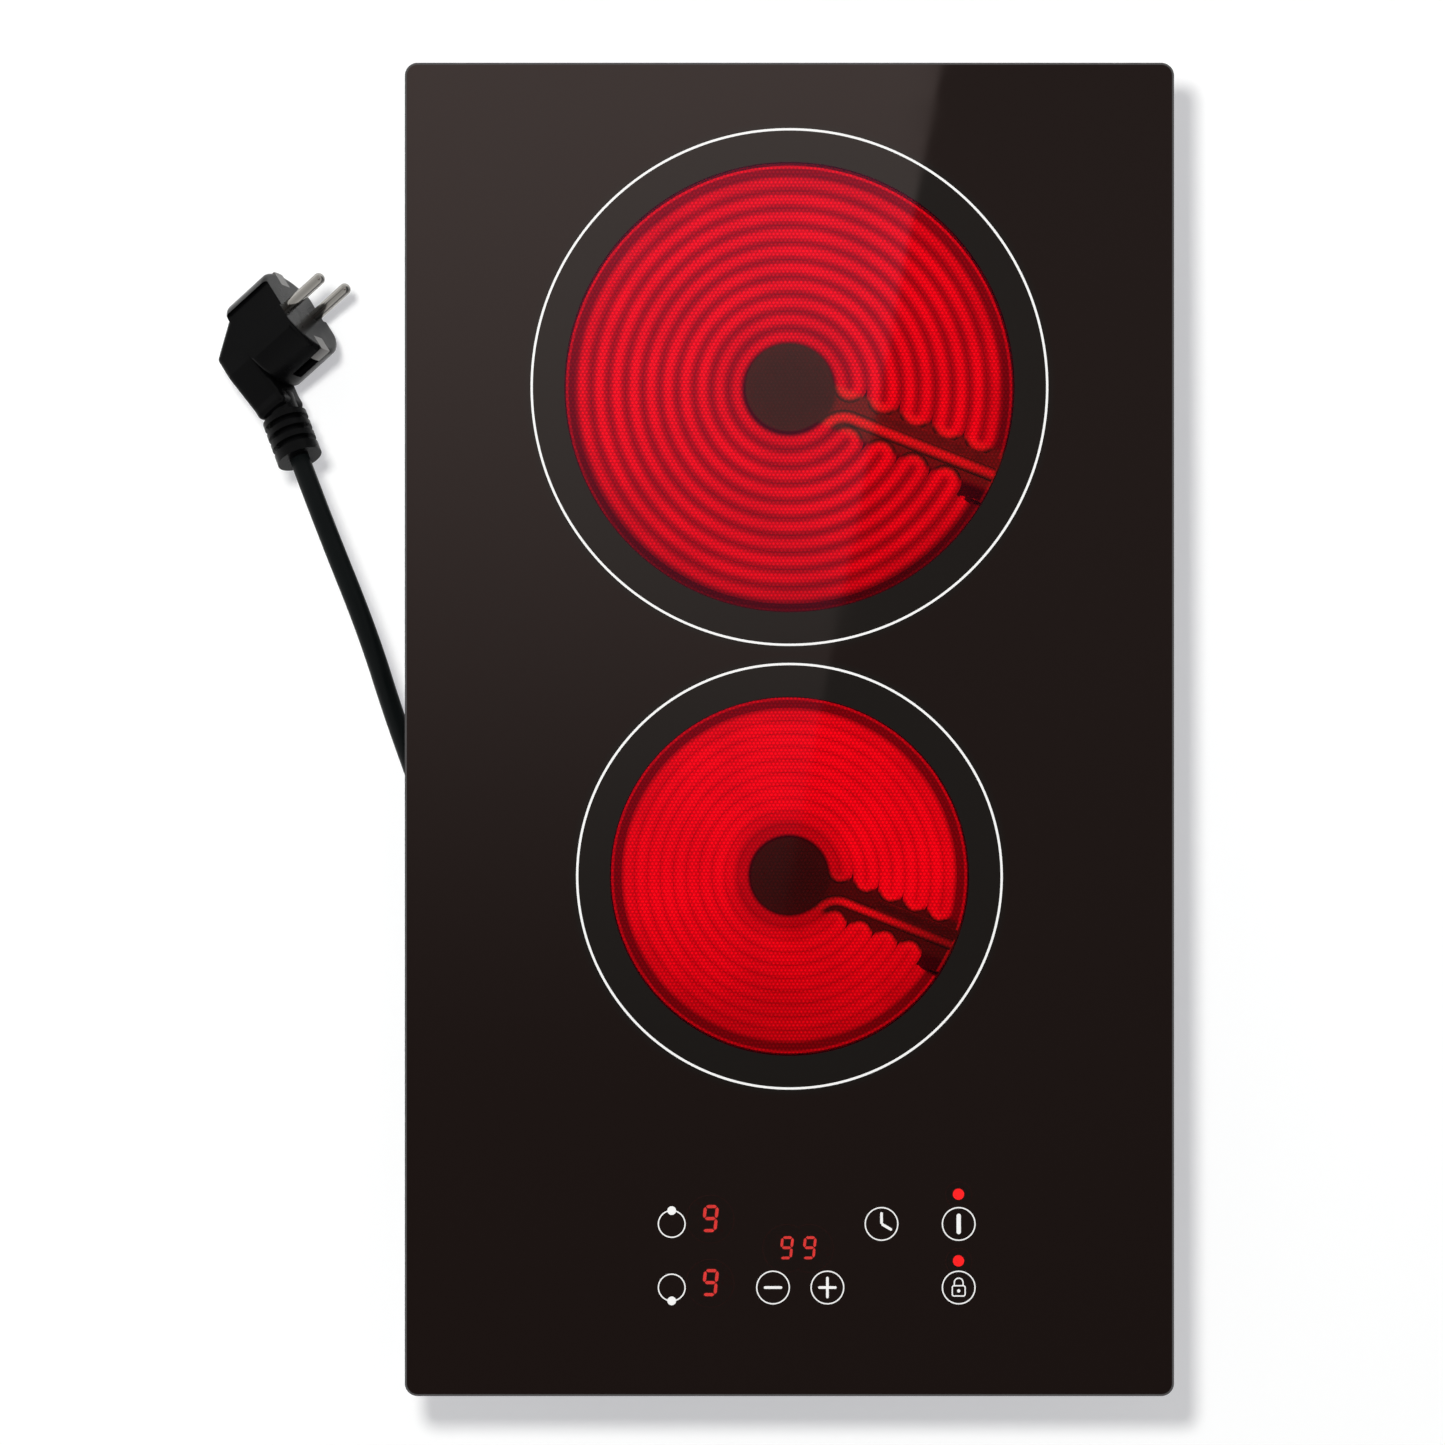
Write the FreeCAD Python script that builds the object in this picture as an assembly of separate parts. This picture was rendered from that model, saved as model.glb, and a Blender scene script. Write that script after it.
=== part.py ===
import FreeCAD, Part
import math
import os

# A two-zone ceramic hob with touch controls, for a worktop cut-out or for standing on its feet.
# Millimetres and degrees. X points right, Y to the rear and Z up, and the origin lies on the floor
# under the middle of the glass. The control strip is at the front.

# Ceramic glass
GLASS_THICKNESS = 4.0
GLASS_CORNER = 5.0
GLASS_BEVEL = 0.8
SIDE_MARGIN = 49.5  # large zone line to the side edge
REAR_MARGIN = 26.0  # large zone line to the rear edge
ZONE_GAP = 7.5
CONTROL_STRIP = 120.0  # small zone line to the front edge

# Zones, by the radius of their printed lines
LARGE_ZONE_RADIUS = 100.5
SMALL_ZONE_RADIUS = 82.75

# Base pan of sheet steel, stepped up into a shelf at both ends
FOOT_HEIGHT = 9.0
PAN_HEIGHT = 45.0
PAN_SHEET = 1.0
PAN_CORNER = 12.0
GLASS_OVERHANG = 22.0
FLANGE_WIDTH = 6.0
SHELF_HEIGHT = 17.0
SHELF_DEPTH = 28.0

# Recess in the right side of the pan that the cord leaves from
RECESS_DEPTH = 26.0
RECESS_REAR = 63.0  # glass line at the rear down to the recess wall that holds the gland
RECESS_LENGTH = 65.0
RECESS_RAMP = 80.0
RECESS_CORNER = 6.0

# Vents in the pan
VENT_WIDTH = 3.0
VENT_CORNER = 1.4
VENT_LENGTH = 26.0
VENT_PITCH = 9.0
VENT_COUNT = 9
SIDE_VENT_HEIGHT = 14.0
SIDE_VENT_COUNT = 7

# Bond and seal under the glass
BOND_THICKNESS = 2.0
BOND_INSET = 1.0  # pan flange edge to bead
BOND_WIDTH = 5.0
SEAL_WIDTH = 10.0
SEAL_INSET = 2.0  # glass edge to tape
SEAL_INNER_CORNER = 1.0

# Feet and their screws
FOOT_TOP_RADIUS = 11.0
FOOT_SOLE_RADIUS = 9.5
FOOT_SIDE_INSET = 24.0
FOOT_END_INSET = 22.0
FOOT_SINK_RADIUS = 5.0
FOOT_SINK_DEPTH = 4.0
SCREW_RADIUS = 2.0
SCREW_HEAD_RADIUS = 3.6
SCREW_HEAD_HEIGHT = 2.2
SCREW_REACH = 6.0  # thread past the sheet
HOLE_CLEARANCE = 0.1

# Rivets
RIVET_RADIUS = 1.6
RIVET_HEAD_RADIUS = 3.2
RIVET_HEAD_HEIGHT = 1.2

# Radiant heaters
HEATER_HEIGHT = 27.0
DISH_INSET = 1.5  # zone line to dish wall
DISH_SHEET = 0.6
DISH_LIP_GAP = 2.0  # dish lip to glass
INSULATION_CLEARANCE = 0.2
INSULATION_THICKNESS = 12.0
RIM_WIDTH = 13.0  # zone line to the glowing well

# Heating ribbons, laid in rings with a corridor for the lead
RING_COUNT = 10
RIM_GAP = 6.5  # last ring's middle line to the well's wall
LARGE_FIRST_RING = 20.5
SMALL_FIRST_RING = 17.6
RIBBON_WIDTH = 3.9
RIBBON_HEIGHT = 5.5
CORRIDOR_ANGLE = -21.6
UPPER_TURN_GAP = 6.7  # corridor's middle line to the upper turns
LOWER_TURN_GAP = 7.9
RIBBON_END_GAP = 14.4
LEAD_DROP = 1.8  # corridor's middle line down to the lead's
LEAD_BEND_RADIUS = 9.0
LEAD_END_GAP = 0.4  # lead's end to the well's wall

# Heat limiters and ribbon terminals on each dish
SEAT_GAP = 0.3
LIMITER_OFFSET = -2.4  # corridor's middle line down to the limiter
LIMITER_RISE = 1.2
LIMITER_START = 36.0  # heater's middle to the tube's end
LIMITER_TUBE_RADIUS = 2.0
LIMITER_ROD_RADIUS = 1.2
RUNNING_CLEARANCE = 0.06
LIMITER_SEAT = 4.0  # tube in the housing
LIMITER_HOUSING_LENGTH = 18.0
LIMITER_HOUSING_WIDTH = 20.0
LIMITER_HOUSING_HEIGHT = 7.2
LIMITER_ROOM_LENGTH = 8.0
LIMITER_ROOM_WIDTH = 9.0
LIMITER_ROOM_HEIGHT = 5.2
LIMITER_BUTTON_RADIUS = 2.2
LIMITER_BUTTON_LENGTH = 2.0
LIMITER_BUTTON_GAP = 1.5
TERMINAL_LENGTH = 12.0
TERMINAL_MARGIN = 5.0
TERMINAL_HEIGHT = 4.4
FEED_PIN_RADIUS = 1.1
FEED_PIN_SEAT = 5.0
TAB_LENGTH = 8.0
TAB_HEIGHT = 3.8
TAB_THICKNESS = 0.8
TAB_SPREAD = 10.0

# Leaf springs that press the heaters to the glass
SPRING_WIDTH = 18.0
SPRING_SHEET = 1.0
SPRING_CROWN = 52.0
SPRING_RAMP = 24.0
SPRING_FOOT = 16.0
LARGE_SPRING_SPREAD = 42.0
SMALL_SPRING_SPREAD = 36.0

# Heat shield between the heaters and the controls
SHIELD_GAP = 8.0  # small zone line to shield
SHIELD_FOOT = 12.0
SHIELD_TOP_GAP = 3.0
SHIELD_SIDE_GAP = 17.0
SHIELD_RIVET_SPREAD = 60.0

# Touch controls
CONTROL_SHIFT = 10.0  # control middle right of the glass middle
BOARD_THICKNESS = 1.6
BOARD_SIDE_MARGIN = 16.0  # power key's middle to the board's side edge
BOARD_END_MARGIN = 7.4  # power lamp's middle to the board's rear edge
BOARD_GLASS_GAP = 7.4
BOARD_CLEARANCE = 0.2
TRAY_WALL = 2.4
TRAY_FRONT_GAP = 2.4  # pan's front wall to the tray
TRAY_LEDGE = 2.0
TRAY_DEPTH = 11.0  # tray's underside to the touch board
TRAY_LEG_RADIUS = 4.5
TRAY_LEG_GAP = 1.5  # power board's side edge to a rear leg
TRAY_FRONT_LEG_SPREAD = 44.0
TRAY_REAR_LEG_Y = 24.0
TRAY_FRONT_LEG_Y = -24.0
TRAY_BOSS_RADIUS = 4.0
TRAY_BOSS_INSET = 6.0
PAD_RADIUS = 5.0
PAD_BORE = 2.5
KEY_REAR_Y = 10.2
KEY_FRONT_Y = -14.6
SELECTOR_X = -55.9
MINUS_X = -16.4
PLUS_X = 4.8
CLOCK_X = 25.9
POWER_X = 56.0
ZONE_DIGIT_X = -40.9
REAR_DIGIT_Y = 12.1
FRONT_DIGIT_Y = -12.9
ZONE_DISPLAY_WIDTH = 10.0
ZONE_DISPLAY_LENGTH = 15.0
TIMER_X = -6.5
TIMER_Y = 0.7
TIMER_DISPLAY_WIDTH = 20.0
TIMER_DISPLAY_LENGTH = 12.0
DISPLAY_GAP = 0.3  # display face to glass
POWER_LAMP_Y = 21.6
LOCK_LAMP_Y = -4.4
LAMP_RADIUS = 2.4

# Power electronics under the tray
POWER_BOARD_WIDTH = 116.0
POWER_BOARD_DEPTH = 48.0
POWER_BOARD_GAP = 6.0  # shield to board
STANDOFF_HEIGHT = 5.0
STANDOFF_RADIUS = 3.2
STANDOFF_INSET = 5.0
BOARD_SCREW_RADIUS = 1.25
BOARD_SCREW_HEAD_RADIUS = 2.5
BOARD_SCREW_HEAD_HEIGHT = 1.8
BOARD_SCREW_REACH = 3.5
RELAY_COUNT = 3
RELAY_WIDTH = 13.0
RELAY_LENGTH = 28.0
RELAY_HEIGHT = 15.0
RELAY_PITCH = 16.0
RELAY_X = -30.0
TRANSFORMER_WIDTH = 26.0
TRANSFORMER_LENGTH = 22.0
TRANSFORMER_HEIGHT = 16.0
TRANSFORMER_X = 26.0
CAPACITOR_RADIUS = 6.0
CAPACITOR_HEIGHT = 14.0
CAPACITOR_X = 4.0
RIBBON_CABLE_WIDTH = 14.0
RIBBON_CABLE_THICKNESS = 1.0
RIBBON_CABLE_GAP = 1.0  # board's front edge to cable
RIBBON_CABLE_SLOT = 1.0

# Mains terminals and wires
TERMINAL_BLOCK_WIDTH = 30.0
TERMINAL_BLOCK_DEPTH = 14.0
TERMINAL_BLOCK_HEIGHT = 15.0
TERMINAL_BLOCK_X = 76.0
TERMINAL_BLOCK_GAP = 2.0  # rear riser to block
WIRE_RADIUS = 1.4
WIRE_PITCH = 4.0
WIRE_SHARE = 0.35  # of the shorter run, taken by each bend
WIRE_FIRST_RUN = 5.0
WIRE_FLOOR_GAP = 0.1
WIRE_LANE_X = 84.0
WIRE_LANE_GAP = 5.0  # pan wall to the outer heater wire
WIRE_LANE_RISE = 6.0  # shelf to the small heater's wires
WIRE_LANE_DRIFT = 26.0  # a heater wire's way to its lane
WIRE_LAYER = 7.0  # between the wires of one piece and the next
WIRE_SINK = 2.0  # over the way from the shield to the board
WIRE_DROP_X = 38.0
WIRE_DROP_PITCH = 8.0
WIRE_DROP_GAP = 5.0  # power board's rear edge to the wires
GATE_WIDTH = 16.0
GATE_HEIGHT = 8.0

# Cord gland
GLAND_INSET = 13.0  # recess wall to the gland's middle
GLAND_RISE = 6.7
GLAND_FLANGE_RADIUS = 6.8
GLAND_FLANGE_LENGTH = 3.0
GLAND_NECK_RADIUS = 5.0
GLAND_SLEEVE_RADIUS = 6.0
GLAND_TIP_RADIUS = 4.6
GLAND_SLEEVE_LENGTH = 27.0
GLAND_NUT_RADIUS = 6.6
GLAND_NUT_LENGTH = 5.0
GLAND_NECK_REACH = 2.0  # neck past its nut

# Supply cord: a route chosen by hand, from the gland round the front and out to the plug
CORD_DIAMETER = 8.0
CORD_SHARE = 0.45
CORD_LEAST_RADIUS = 40.0
CORD_LEVEL = CORD_DIAMETER / 2 + 0.1
CORD_FIRST_RUN = 24.0
CORD_LAST_RUN = 30.0
CORD_ROUTE = (
    (119.5, 93.0, 12.5),
    (127.5, 62.0, 7.0),
    (135.0, 28.0, CORD_LEVEL),
    (140.5, -14.0, CORD_LEVEL),
    (143.0, -62.0, CORD_LEVEL),
    (143.5, -114.0, CORD_LEVEL),
    (142.5, -168.0, CORD_LEVEL),
    (133.0, -219.0, CORD_LEVEL),
    (93.0, -246.0, CORD_LEVEL),
    (38.0, -250.0, CORD_LEVEL),
    (-20.0, -250.5, CORD_LEVEL),
    (-78.0, -248.0, CORD_LEVEL),
    (-126.0, -229.0, CORD_LEVEL),
    (-142.0, -182.0, CORD_LEVEL),
    (-144.0, -130.0, CORD_LEVEL),
    (-144.5, -80.0, 4.6),
    (-147.5, -34.0, 13.0),
    (-155.0, 4.0, 30.5),
    (-165.0, 38.0, 46.0),
)

# Angled two-pin plug with earth clips, lying beside the hob
PLUG_PLACE = (-192.0, 164.8)  # middle of its face
PLUG_PIN_WAY = (0.721, 0.626, 0.296)
PLUG_ROW_WAY = (0.502, -0.157, -0.850)
PLUG_RADIUS = 20.5
PLUG_CUP_LENGTH = 22.5
PLUG_CUP_EDGE = 2.0
PLUG_FLAT = 17.0  # middle to the wide flat
PLUG_GROOVE_DEPTH = 2.0
PLUG_GROOVE_WIDTH = 13.0
PLUG_GROOVE_SHIFT = 1.0  # the groove's end past the cup's middle
PLUG_BACK = 36.5
PLUG_BACK_START = 2.0
PLUG_SHOULDER = 16.0
PLUG_COVER_WIDTH = 27.0
PLUG_TAPER_END = 24.0  # the cup's middle to the end of the neck's taper
PLUG_NECK_END = 29.0
PLUG_NECK_WIDTH = 17.0
PLUG_NECK_THICKNESS = 14.0
PLUG_COVER_EDGE = 2.5
PIN_RADIUS = 2.4
PIN_LENGTH = 19.0
PIN_SPACING = 19.0
PIN_SEAT = 8.0
PIN_TIP_ROUND = 2.2
CLIP_WIDTH = 6.0
CLIP_THICKNESS = 1.2
CLIP_LENGTH = 6.0
CLIP_SLOT_LENGTH = 16.0
CLIP_FOLD = 5.0
RELIEF_TILT = 11.0
RELIEF_CORE_RADIUS = 6.6
RELIEF_RIB_RADIUS = 9.0
RELIEF_RIB_COUNT = 3
RELIEF_RIB_WIDTH = 2.4
RELIEF_RIB_PITCH = 4.8
RELIEF_FIRST_RIB = 2.1
RELIEF_COLLAR_WIDTH = 4.2

# Worktop clamps under the shelves
CLAMP_INSET = 50.0  # pan side to pivot
CLAMP_EDGE = 12.0  # pan end to pivot
CLAMP_ARM_LENGTH = 32.0
CLAMP_ARM_WIDTH = 14.0
CLAMP_ARM_THICKNESS = 2.5
CLAMP_GAP = 0.3
CLAMP_PIVOT_RADIUS = 2.5
CLAMP_HEAD_RADIUS = 5.0
CLAMP_HEAD_HEIGHT = 2.5
CLAMP_STUD_REACH = 5.0
CLAMP_PAD_RADIUS = 5.0
CLAMP_PAD_HEIGHT = 1.6

# Levels and lines that follow from the sizes above
glass_width = 2 * (LARGE_ZONE_RADIUS + SIDE_MARGIN)
glass_length = REAR_MARGIN + 2 * LARGE_ZONE_RADIUS + ZONE_GAP + 2 * SMALL_ZONE_RADIUS + CONTROL_STRIP
rear_edge = glass_length / 2
large_y = rear_edge - REAR_MARGIN - LARGE_ZONE_RADIUS
small_y = large_y - LARGE_ZONE_RADIUS - ZONE_GAP - SMALL_ZONE_RADIUS
pan_half_width = glass_width / 2 - GLASS_OVERHANG
pan_half_length = glass_length / 2 - GLASS_OVERHANG
riser_y = pan_half_length - SHELF_DEPTH
pan_floor = FOOT_HEIGHT + PAN_SHEET
shelf_under = FOOT_HEIGHT + SHELF_HEIGHT
shelf_top = shelf_under + PAN_SHEET
pan_top = FOOT_HEIGHT + PAN_HEIGHT
glass_under = pan_top + BOND_THICKNESS
dish_under = glass_under - HEATER_HEIGHT
insulation_top = dish_under + DISH_SHEET + INSULATION_THICKNESS
ribbon_middle = insulation_top + RIBBON_HEIGHT / 2
limiter_z = insulation_top + RIBBON_HEIGHT + LIMITER_RISE + LIMITER_TUBE_RADIUS
recess_rear_y = rear_edge - GLASS_OVERHANG - RECESS_REAR
recess_x = pan_half_width - RECESS_DEPTH
shield_y = small_y - SMALL_ZONE_RADIUS - SHIELD_GAP
board_width = 2 * (POWER_X + BOARD_SIDE_MARGIN)
board_depth = 2 * (POWER_LAMP_Y + BOARD_END_MARGIN)
tray_front = -pan_half_length + PAN_SHEET + TRAY_FRONT_GAP
control_y = tray_front + TRAY_WALL + BOARD_CLEARANCE + board_depth / 2
board_top = glass_under - BOARD_GLASS_GAP
board_under = board_top - BOARD_THICKNESS
tray_under = board_under - TRAY_DEPTH
power_board_y = shield_y - POWER_BOARD_GAP - POWER_BOARD_DEPTH / 2
power_board_under = pan_floor + STANDOFF_HEIGHT
power_board_top = power_board_under + BOARD_THICKNESS

UP = FreeCAD.Vector(0, 0, 1)
ORIGIN = FreeCAD.Vector(0, 0, 0)


# Basic shapes


def point(x, y, z=0.0):
    return FreeCAD.Vector(x, y, z)


def block(x_range, y_range, z_range):
    """A box between two limits on each axis."""
    low, high = zip(x_range, y_range, z_range)
    return Part.makeBox(*[b - a for a, b in zip(low, high)], point(*low))


def post(x, y, bottom, top, radius):
    """An upright round post."""
    return Part.makeCylinder(radius, top - bottom, point(x, y, bottom))


def rod(start, way, radius, length):
    """A round rod from a point along a direction."""
    return Part.makeCylinder(radius, length, start, way)


def joined(shapes):
    """Several shapes as one solid."""
    return shapes[0].multiFuse(shapes[1:]).removeSplitter()


def without(shape, cutters):
    """A shape with several cutters taken out of it."""
    return shape.cut(Part.makeCompound(cutters))


def corner_arc(before, corner, after, radius):
    """The arc of a radius that is tangent to both runs at a corner."""
    to_before = (before - corner).normalize()
    to_after = (after - corner).normalize()
    half = to_before.getAngle(to_after) / 2
    reach = radius / math.tan(half)
    inner = (to_before + to_after).normalize()
    middle = corner + inner * (radius / math.sin(half) - radius)
    return Part.Arc(corner + to_before * reach, middle, corner + to_after * reach).toShape()


def run_between(start, end):
    """A straight edge in a list, or an empty list where the two points meet."""
    if start.distanceToPoint(end) < 1e-6:
        return []
    return [Part.makeLine(start, end)]


def outline(corners, radii):
    """A closed flat wire through the corners, each rounded with its own radius."""
    points = [point(*c) for c in corners]
    arcs = [
        corner_arc(points[i - 1], points[i], points[(i + 1) % len(points)], radii[i])
        for i in range(len(points))
    ]
    edges = []
    for i, arc in enumerate(arcs):
        edges += run_between(arcs[i - 1].Vertexes[-1].Point, arc.Vertexes[0].Point)
        edges.append(arc)
    return Part.Wire(edges)


def rounded_rectangle(half_width, half_length, radius, middle=(0.0, 0.0)):
    """A closed flat wire: a rectangle with round corners."""
    x, y = middle
    corners = [
        (x - half_width, y - half_length),
        (x + half_width, y - half_length),
        (x + half_width, y + half_length),
        (x - half_width, y + half_length),
    ]
    return outline(corners, [radius] * 4)


def slab(wire, bottom, top):
    """A flat outline made solid between two levels."""
    face = Part.Face(wire)
    face.translate(point(0, 0, bottom))
    return face.extrude(point(0, 0, top - bottom))


def ring_sector(middle, radius, start, sweep, width, bottom, height):
    """An arc of a flat ring: its middle line, where it starts and how far it turns."""
    outer = Part.makeCylinder(radius + width / 2, height, ORIGIN, UP, sweep)
    inner = Part.makeCylinder(radius - width / 2, height)
    sector = outer.cut(inner)
    sector.rotate(ORIGIN, UP, start)
    sector.translate(point(middle[0], middle[1], bottom))
    return sector


def path_with_bends(route, share):
    """Straight runs joined by tangent arcs, each taking a share of its shorter run."""
    points = [point(*p) for p in route]
    edges = []
    radii = []
    here = points[0]
    for before, corner, after in zip(points, points[1:], points[2:]):
        turn = (corner - before).getAngle(after - corner)
        shorter = min(corner.distanceToPoint(before), corner.distanceToPoint(after))
        radius = share * shorter / math.tan(turn / 2)
        arc = corner_arc(before, corner, after, radius)
        edges += run_between(here, arc.Vertexes[0].Point)
        edges.append(arc)
        radii.append(radius)
        here = arc.Vertexes[-1].Point
    edges += run_between(here, points[-1])
    return Part.Wire(edges), radii


def tube_along(route, radius, share):
    """A round tube along a route, with the bend radii and length of its middle line."""
    path, radii = path_with_bends(route, share)
    way = point(*route[1]) - point(*route[0])
    section = Part.Wire(Part.makeCircle(radius, point(*route[0]), way))
    tube = path.makePipeShell([section], True, False)
    return tube, radii, path.Length


# Places of repeated pieces

foot_places = [
    (side * (pan_half_width - FOOT_SIDE_INSET), end * (riser_y - FOOT_END_INSET))
    for end in (-1, 1)
    for side in (-1, 1)
]
spring_rows = [
    middle + side * spread
    for middle, spread in ((large_y, LARGE_SPRING_SPREAD), (small_y, SMALL_SPRING_SPREAD))
    for side in (-1, 1)
]
spring_rivet_x = SPRING_CROWN / 2 + SPRING_RAMP + SPRING_FOOT / 2
rivet_places = [(side * spring_rivet_x, y, SPRING_SHEET) for y in spring_rows for side in (-1, 1)]
rivet_places += [
    (side * SHIELD_RIVET_SPREAD, shield_y + SHIELD_FOOT / 2 + PAN_SHEET / 2, PAN_SHEET) for side in (-1, 1)
]
rear_leg_spread = POWER_BOARD_WIDTH / 2 + TRAY_LEG_GAP + TRAY_LEG_RADIUS
tray_legs = [
    (CONTROL_SHIFT + side * rear_leg_spread, control_y + TRAY_REAR_LEG_Y, pan_floor) for side in (-1, 1)
]
tray_legs += [
    (CONTROL_SHIFT + side * TRAY_FRONT_LEG_SPREAD, control_y + TRAY_FRONT_LEG_Y, shelf_top)
    for side in (-1, 1)
]
standoff_places = [
    (
        CONTROL_SHIFT + side * (POWER_BOARD_WIDTH / 2 - STANDOFF_INSET),
        power_board_y + end * (POWER_BOARD_DEPTH / 2 - STANDOFF_INSET),
    )
    for end in (-1, 1)
    for side in (-1, 1)
]
board_boss_places = [
    (
        CONTROL_SHIFT + side * (board_width / 2 - TRAY_BOSS_INSET),
        control_y + end * (board_depth / 2 - TRAY_BOSS_INSET),
    )
    for end in (-1, 1)
    for side in (-1, 1)
]
key_places = [
    (SELECTOR_X, KEY_REAR_Y),
    (SELECTOR_X, KEY_FRONT_Y),
    (MINUS_X, KEY_FRONT_Y),
    (PLUS_X, KEY_FRONT_Y),
    (CLOCK_X, KEY_REAR_Y),
    (POWER_X, KEY_REAR_Y),
    (POWER_X, KEY_FRONT_Y),
]
clamp_places = {
    "front_left": (-1, -1),
    "front_right": (1, -1),
    "rear_left": (-1, 1),
    "rear_right": (1, 1),
}
clamp_x = pan_half_width - CLAMP_INSET
clamp_y = pan_half_length - CLAMP_EDGE
gland_x = recess_x + GLAND_INSET
gland_z = pan_floor + GLAND_RISE
cable_y = power_board_y - POWER_BOARD_DEPTH / 2 + RIBBON_CABLE_GAP + RIBBON_CABLE_THICKNESS / 2
cable_x = CONTROL_SHIFT


# Glass, bond and seal


def make_glass():
    panel = slab(
        rounded_rectangle(glass_width / 2, glass_length / 2, GLASS_CORNER),
        glass_under,
        glass_under + GLASS_THICKNESS,
    )
    top = glass_under + GLASS_THICKNESS
    rim = [e for e in panel.Edges if abs(e.BoundBox.ZMin - top) < 1e-6]
    return panel.makeChamfer(GLASS_BEVEL, rim)


def frame_under_glass(half_width, half_length, radius, width, inner_radius):
    """A flat frame of one width between the pan's top and the glass."""
    outer = rounded_rectangle(half_width, half_length, radius)
    inner = rounded_rectangle(half_width - width, half_length - width, inner_radius)
    return slab(outer, pan_top, glass_under).cut(slab(inner, pan_top, glass_under))


def make_bond():
    grow = FLANGE_WIDTH - BOND_INSET
    radius = PAN_CORNER + grow
    return frame_under_glass(
        pan_half_width + grow, pan_half_length + grow, radius, BOND_WIDTH, radius - BOND_WIDTH
    )


def make_seal():
    half_width = glass_width / 2 - SEAL_INSET
    half_length = glass_length / 2 - SEAL_INSET
    return frame_under_glass(half_width, half_length, GLASS_CORNER, SEAL_WIDTH, SEAL_INNER_CORNER)


# Base pan


def lower_outline():
    """The deep part of the pan from above, with the cord's recess in its right side."""
    corners = [
        (-pan_half_width, -riser_y),
        (pan_half_width, -riser_y),
        (pan_half_width, recess_rear_y - RECESS_LENGTH - RECESS_RAMP),
        (recess_x, recess_rear_y - RECESS_LENGTH),
        (recess_x, recess_rear_y),
        (pan_half_width, recess_rear_y),
        (pan_half_width, riser_y),
        (-pan_half_width, riser_y),
    ]
    radii = [PAN_CORNER] * 2 + [RECESS_CORNER] * 4 + [PAN_CORNER] * 2
    return outline(corners, radii)


def pan_vents():
    """Slots through the floor between the springs, and upright slots beside the controls."""
    cutters = []
    first = -VENT_PITCH * (VENT_COUNT - 1) / 2
    for row in (large_y, small_y):
        for i in range(VENT_COUNT):
            x = first + i * VENT_PITCH
            slot = rounded_rectangle(VENT_WIDTH / 2, VENT_LENGTH / 2, VENT_CORNER, (x, row))
            cutters.append(slab(slot, FOOT_HEIGHT - 1, pan_floor + 1))
    middle_z = (shelf_top + pan_top) / 2
    for i in range(SIDE_VENT_COUNT):
        y = control_y + (i - (SIDE_VENT_COUNT - 1) / 2) * VENT_PITCH
        cutters.append(
            block(
                (-pan_half_width - 1, pan_half_width + 1),
                (y - VENT_WIDTH / 2, y + VENT_WIDTH / 2),
                (middle_z - SIDE_VENT_HEIGHT / 2, middle_z + SIDE_VENT_HEIGHT / 2),
            )
        )
    return cutters


def pan_holes():
    """Round holes for screws, rivets, clamp pivots and the cord gland."""
    bottom, top = FOOT_HEIGHT - 1, pan_floor + 1
    screw_hole = SCREW_RADIUS + HOLE_CLEARANCE
    cutters = [post(x, y, bottom, top, screw_hole) for x, y in foot_places]
    cutters += [post(x, y, bottom, top, RIVET_RADIUS + HOLE_CLEARANCE) for x, y, _ in rivet_places]
    cutters += [post(x, y, z - PAN_SHEET - 1, z + 1, screw_hole) for x, y, z in tray_legs]
    cutters += [post(x, y, bottom, top, BOARD_SCREW_RADIUS + HOLE_CLEARANCE) for x, y in standoff_places]
    earth_x, earth_y = earth_place()
    cutters.append(post(earth_x, earth_y, bottom, top, screw_hole))
    for side, end in clamp_places.values():
        x, y = side * clamp_x, end * clamp_y
        cutters.append(post(x, y, shelf_under - 1, shelf_top + 1, CLAMP_PIVOT_RADIUS + HOLE_CLEARANCE))
    way = point(0, 1, 0)
    start = point(gland_x, recess_rear_y - 1, gland_z)
    cutters.append(rod(start, way, GLAND_NECK_RADIUS + HOLE_CLEARANCE, PAN_SHEET + 2))
    return cutters


def make_base_pan():
    low_wire = lower_outline()
    high_wire = rounded_rectangle(pan_half_width, pan_half_length, PAN_CORNER)
    inner_low = low_wire.makeOffset2D(-PAN_SHEET)
    inner_high = rounded_rectangle(
        pan_half_width - PAN_SHEET, pan_half_length - PAN_SHEET, PAN_CORNER - PAN_SHEET
    )
    flange_wire = rounded_rectangle(
        pan_half_width + FLANGE_WIDTH, pan_half_length + FLANGE_WIDTH, PAN_CORNER + FLANGE_WIDTH
    )
    shell = joined(
        [
            slab(low_wire, FOOT_HEIGHT, shelf_top),
            slab(high_wire, shelf_under, pan_top),
            slab(flange_wire, pan_top - PAN_SHEET, pan_top),
        ]
    )
    hollow = joined([slab(inner_low, pan_floor, shelf_top + 1), slab(inner_high, shelf_top, pan_top + 1)])
    return without(shell.cut(hollow), pan_vents() + pan_holes())


# Feet, screws and rivets


def make_foot(x, y):
    cone = Part.makeCone(FOOT_SOLE_RADIUS, FOOT_TOP_RADIUS, FOOT_HEIGHT, point(x, y))
    sink = post(x, y, 0, FOOT_SINK_DEPTH, FOOT_SINK_RADIUS)
    hole = post(x, y, 0, FOOT_HEIGHT, SCREW_RADIUS + HOLE_CLEARANCE)
    return without(cone, [sink, hole])


def make_screw(x, y, seat, top):
    """A pan-head screw driven upwards: its head is under the seat."""
    head = post(x, y, seat - SCREW_HEAD_HEIGHT, seat, SCREW_HEAD_RADIUS)
    return joined([head, post(x, y, seat - SCREW_HEAD_HEIGHT, top, SCREW_RADIUS)])


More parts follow.
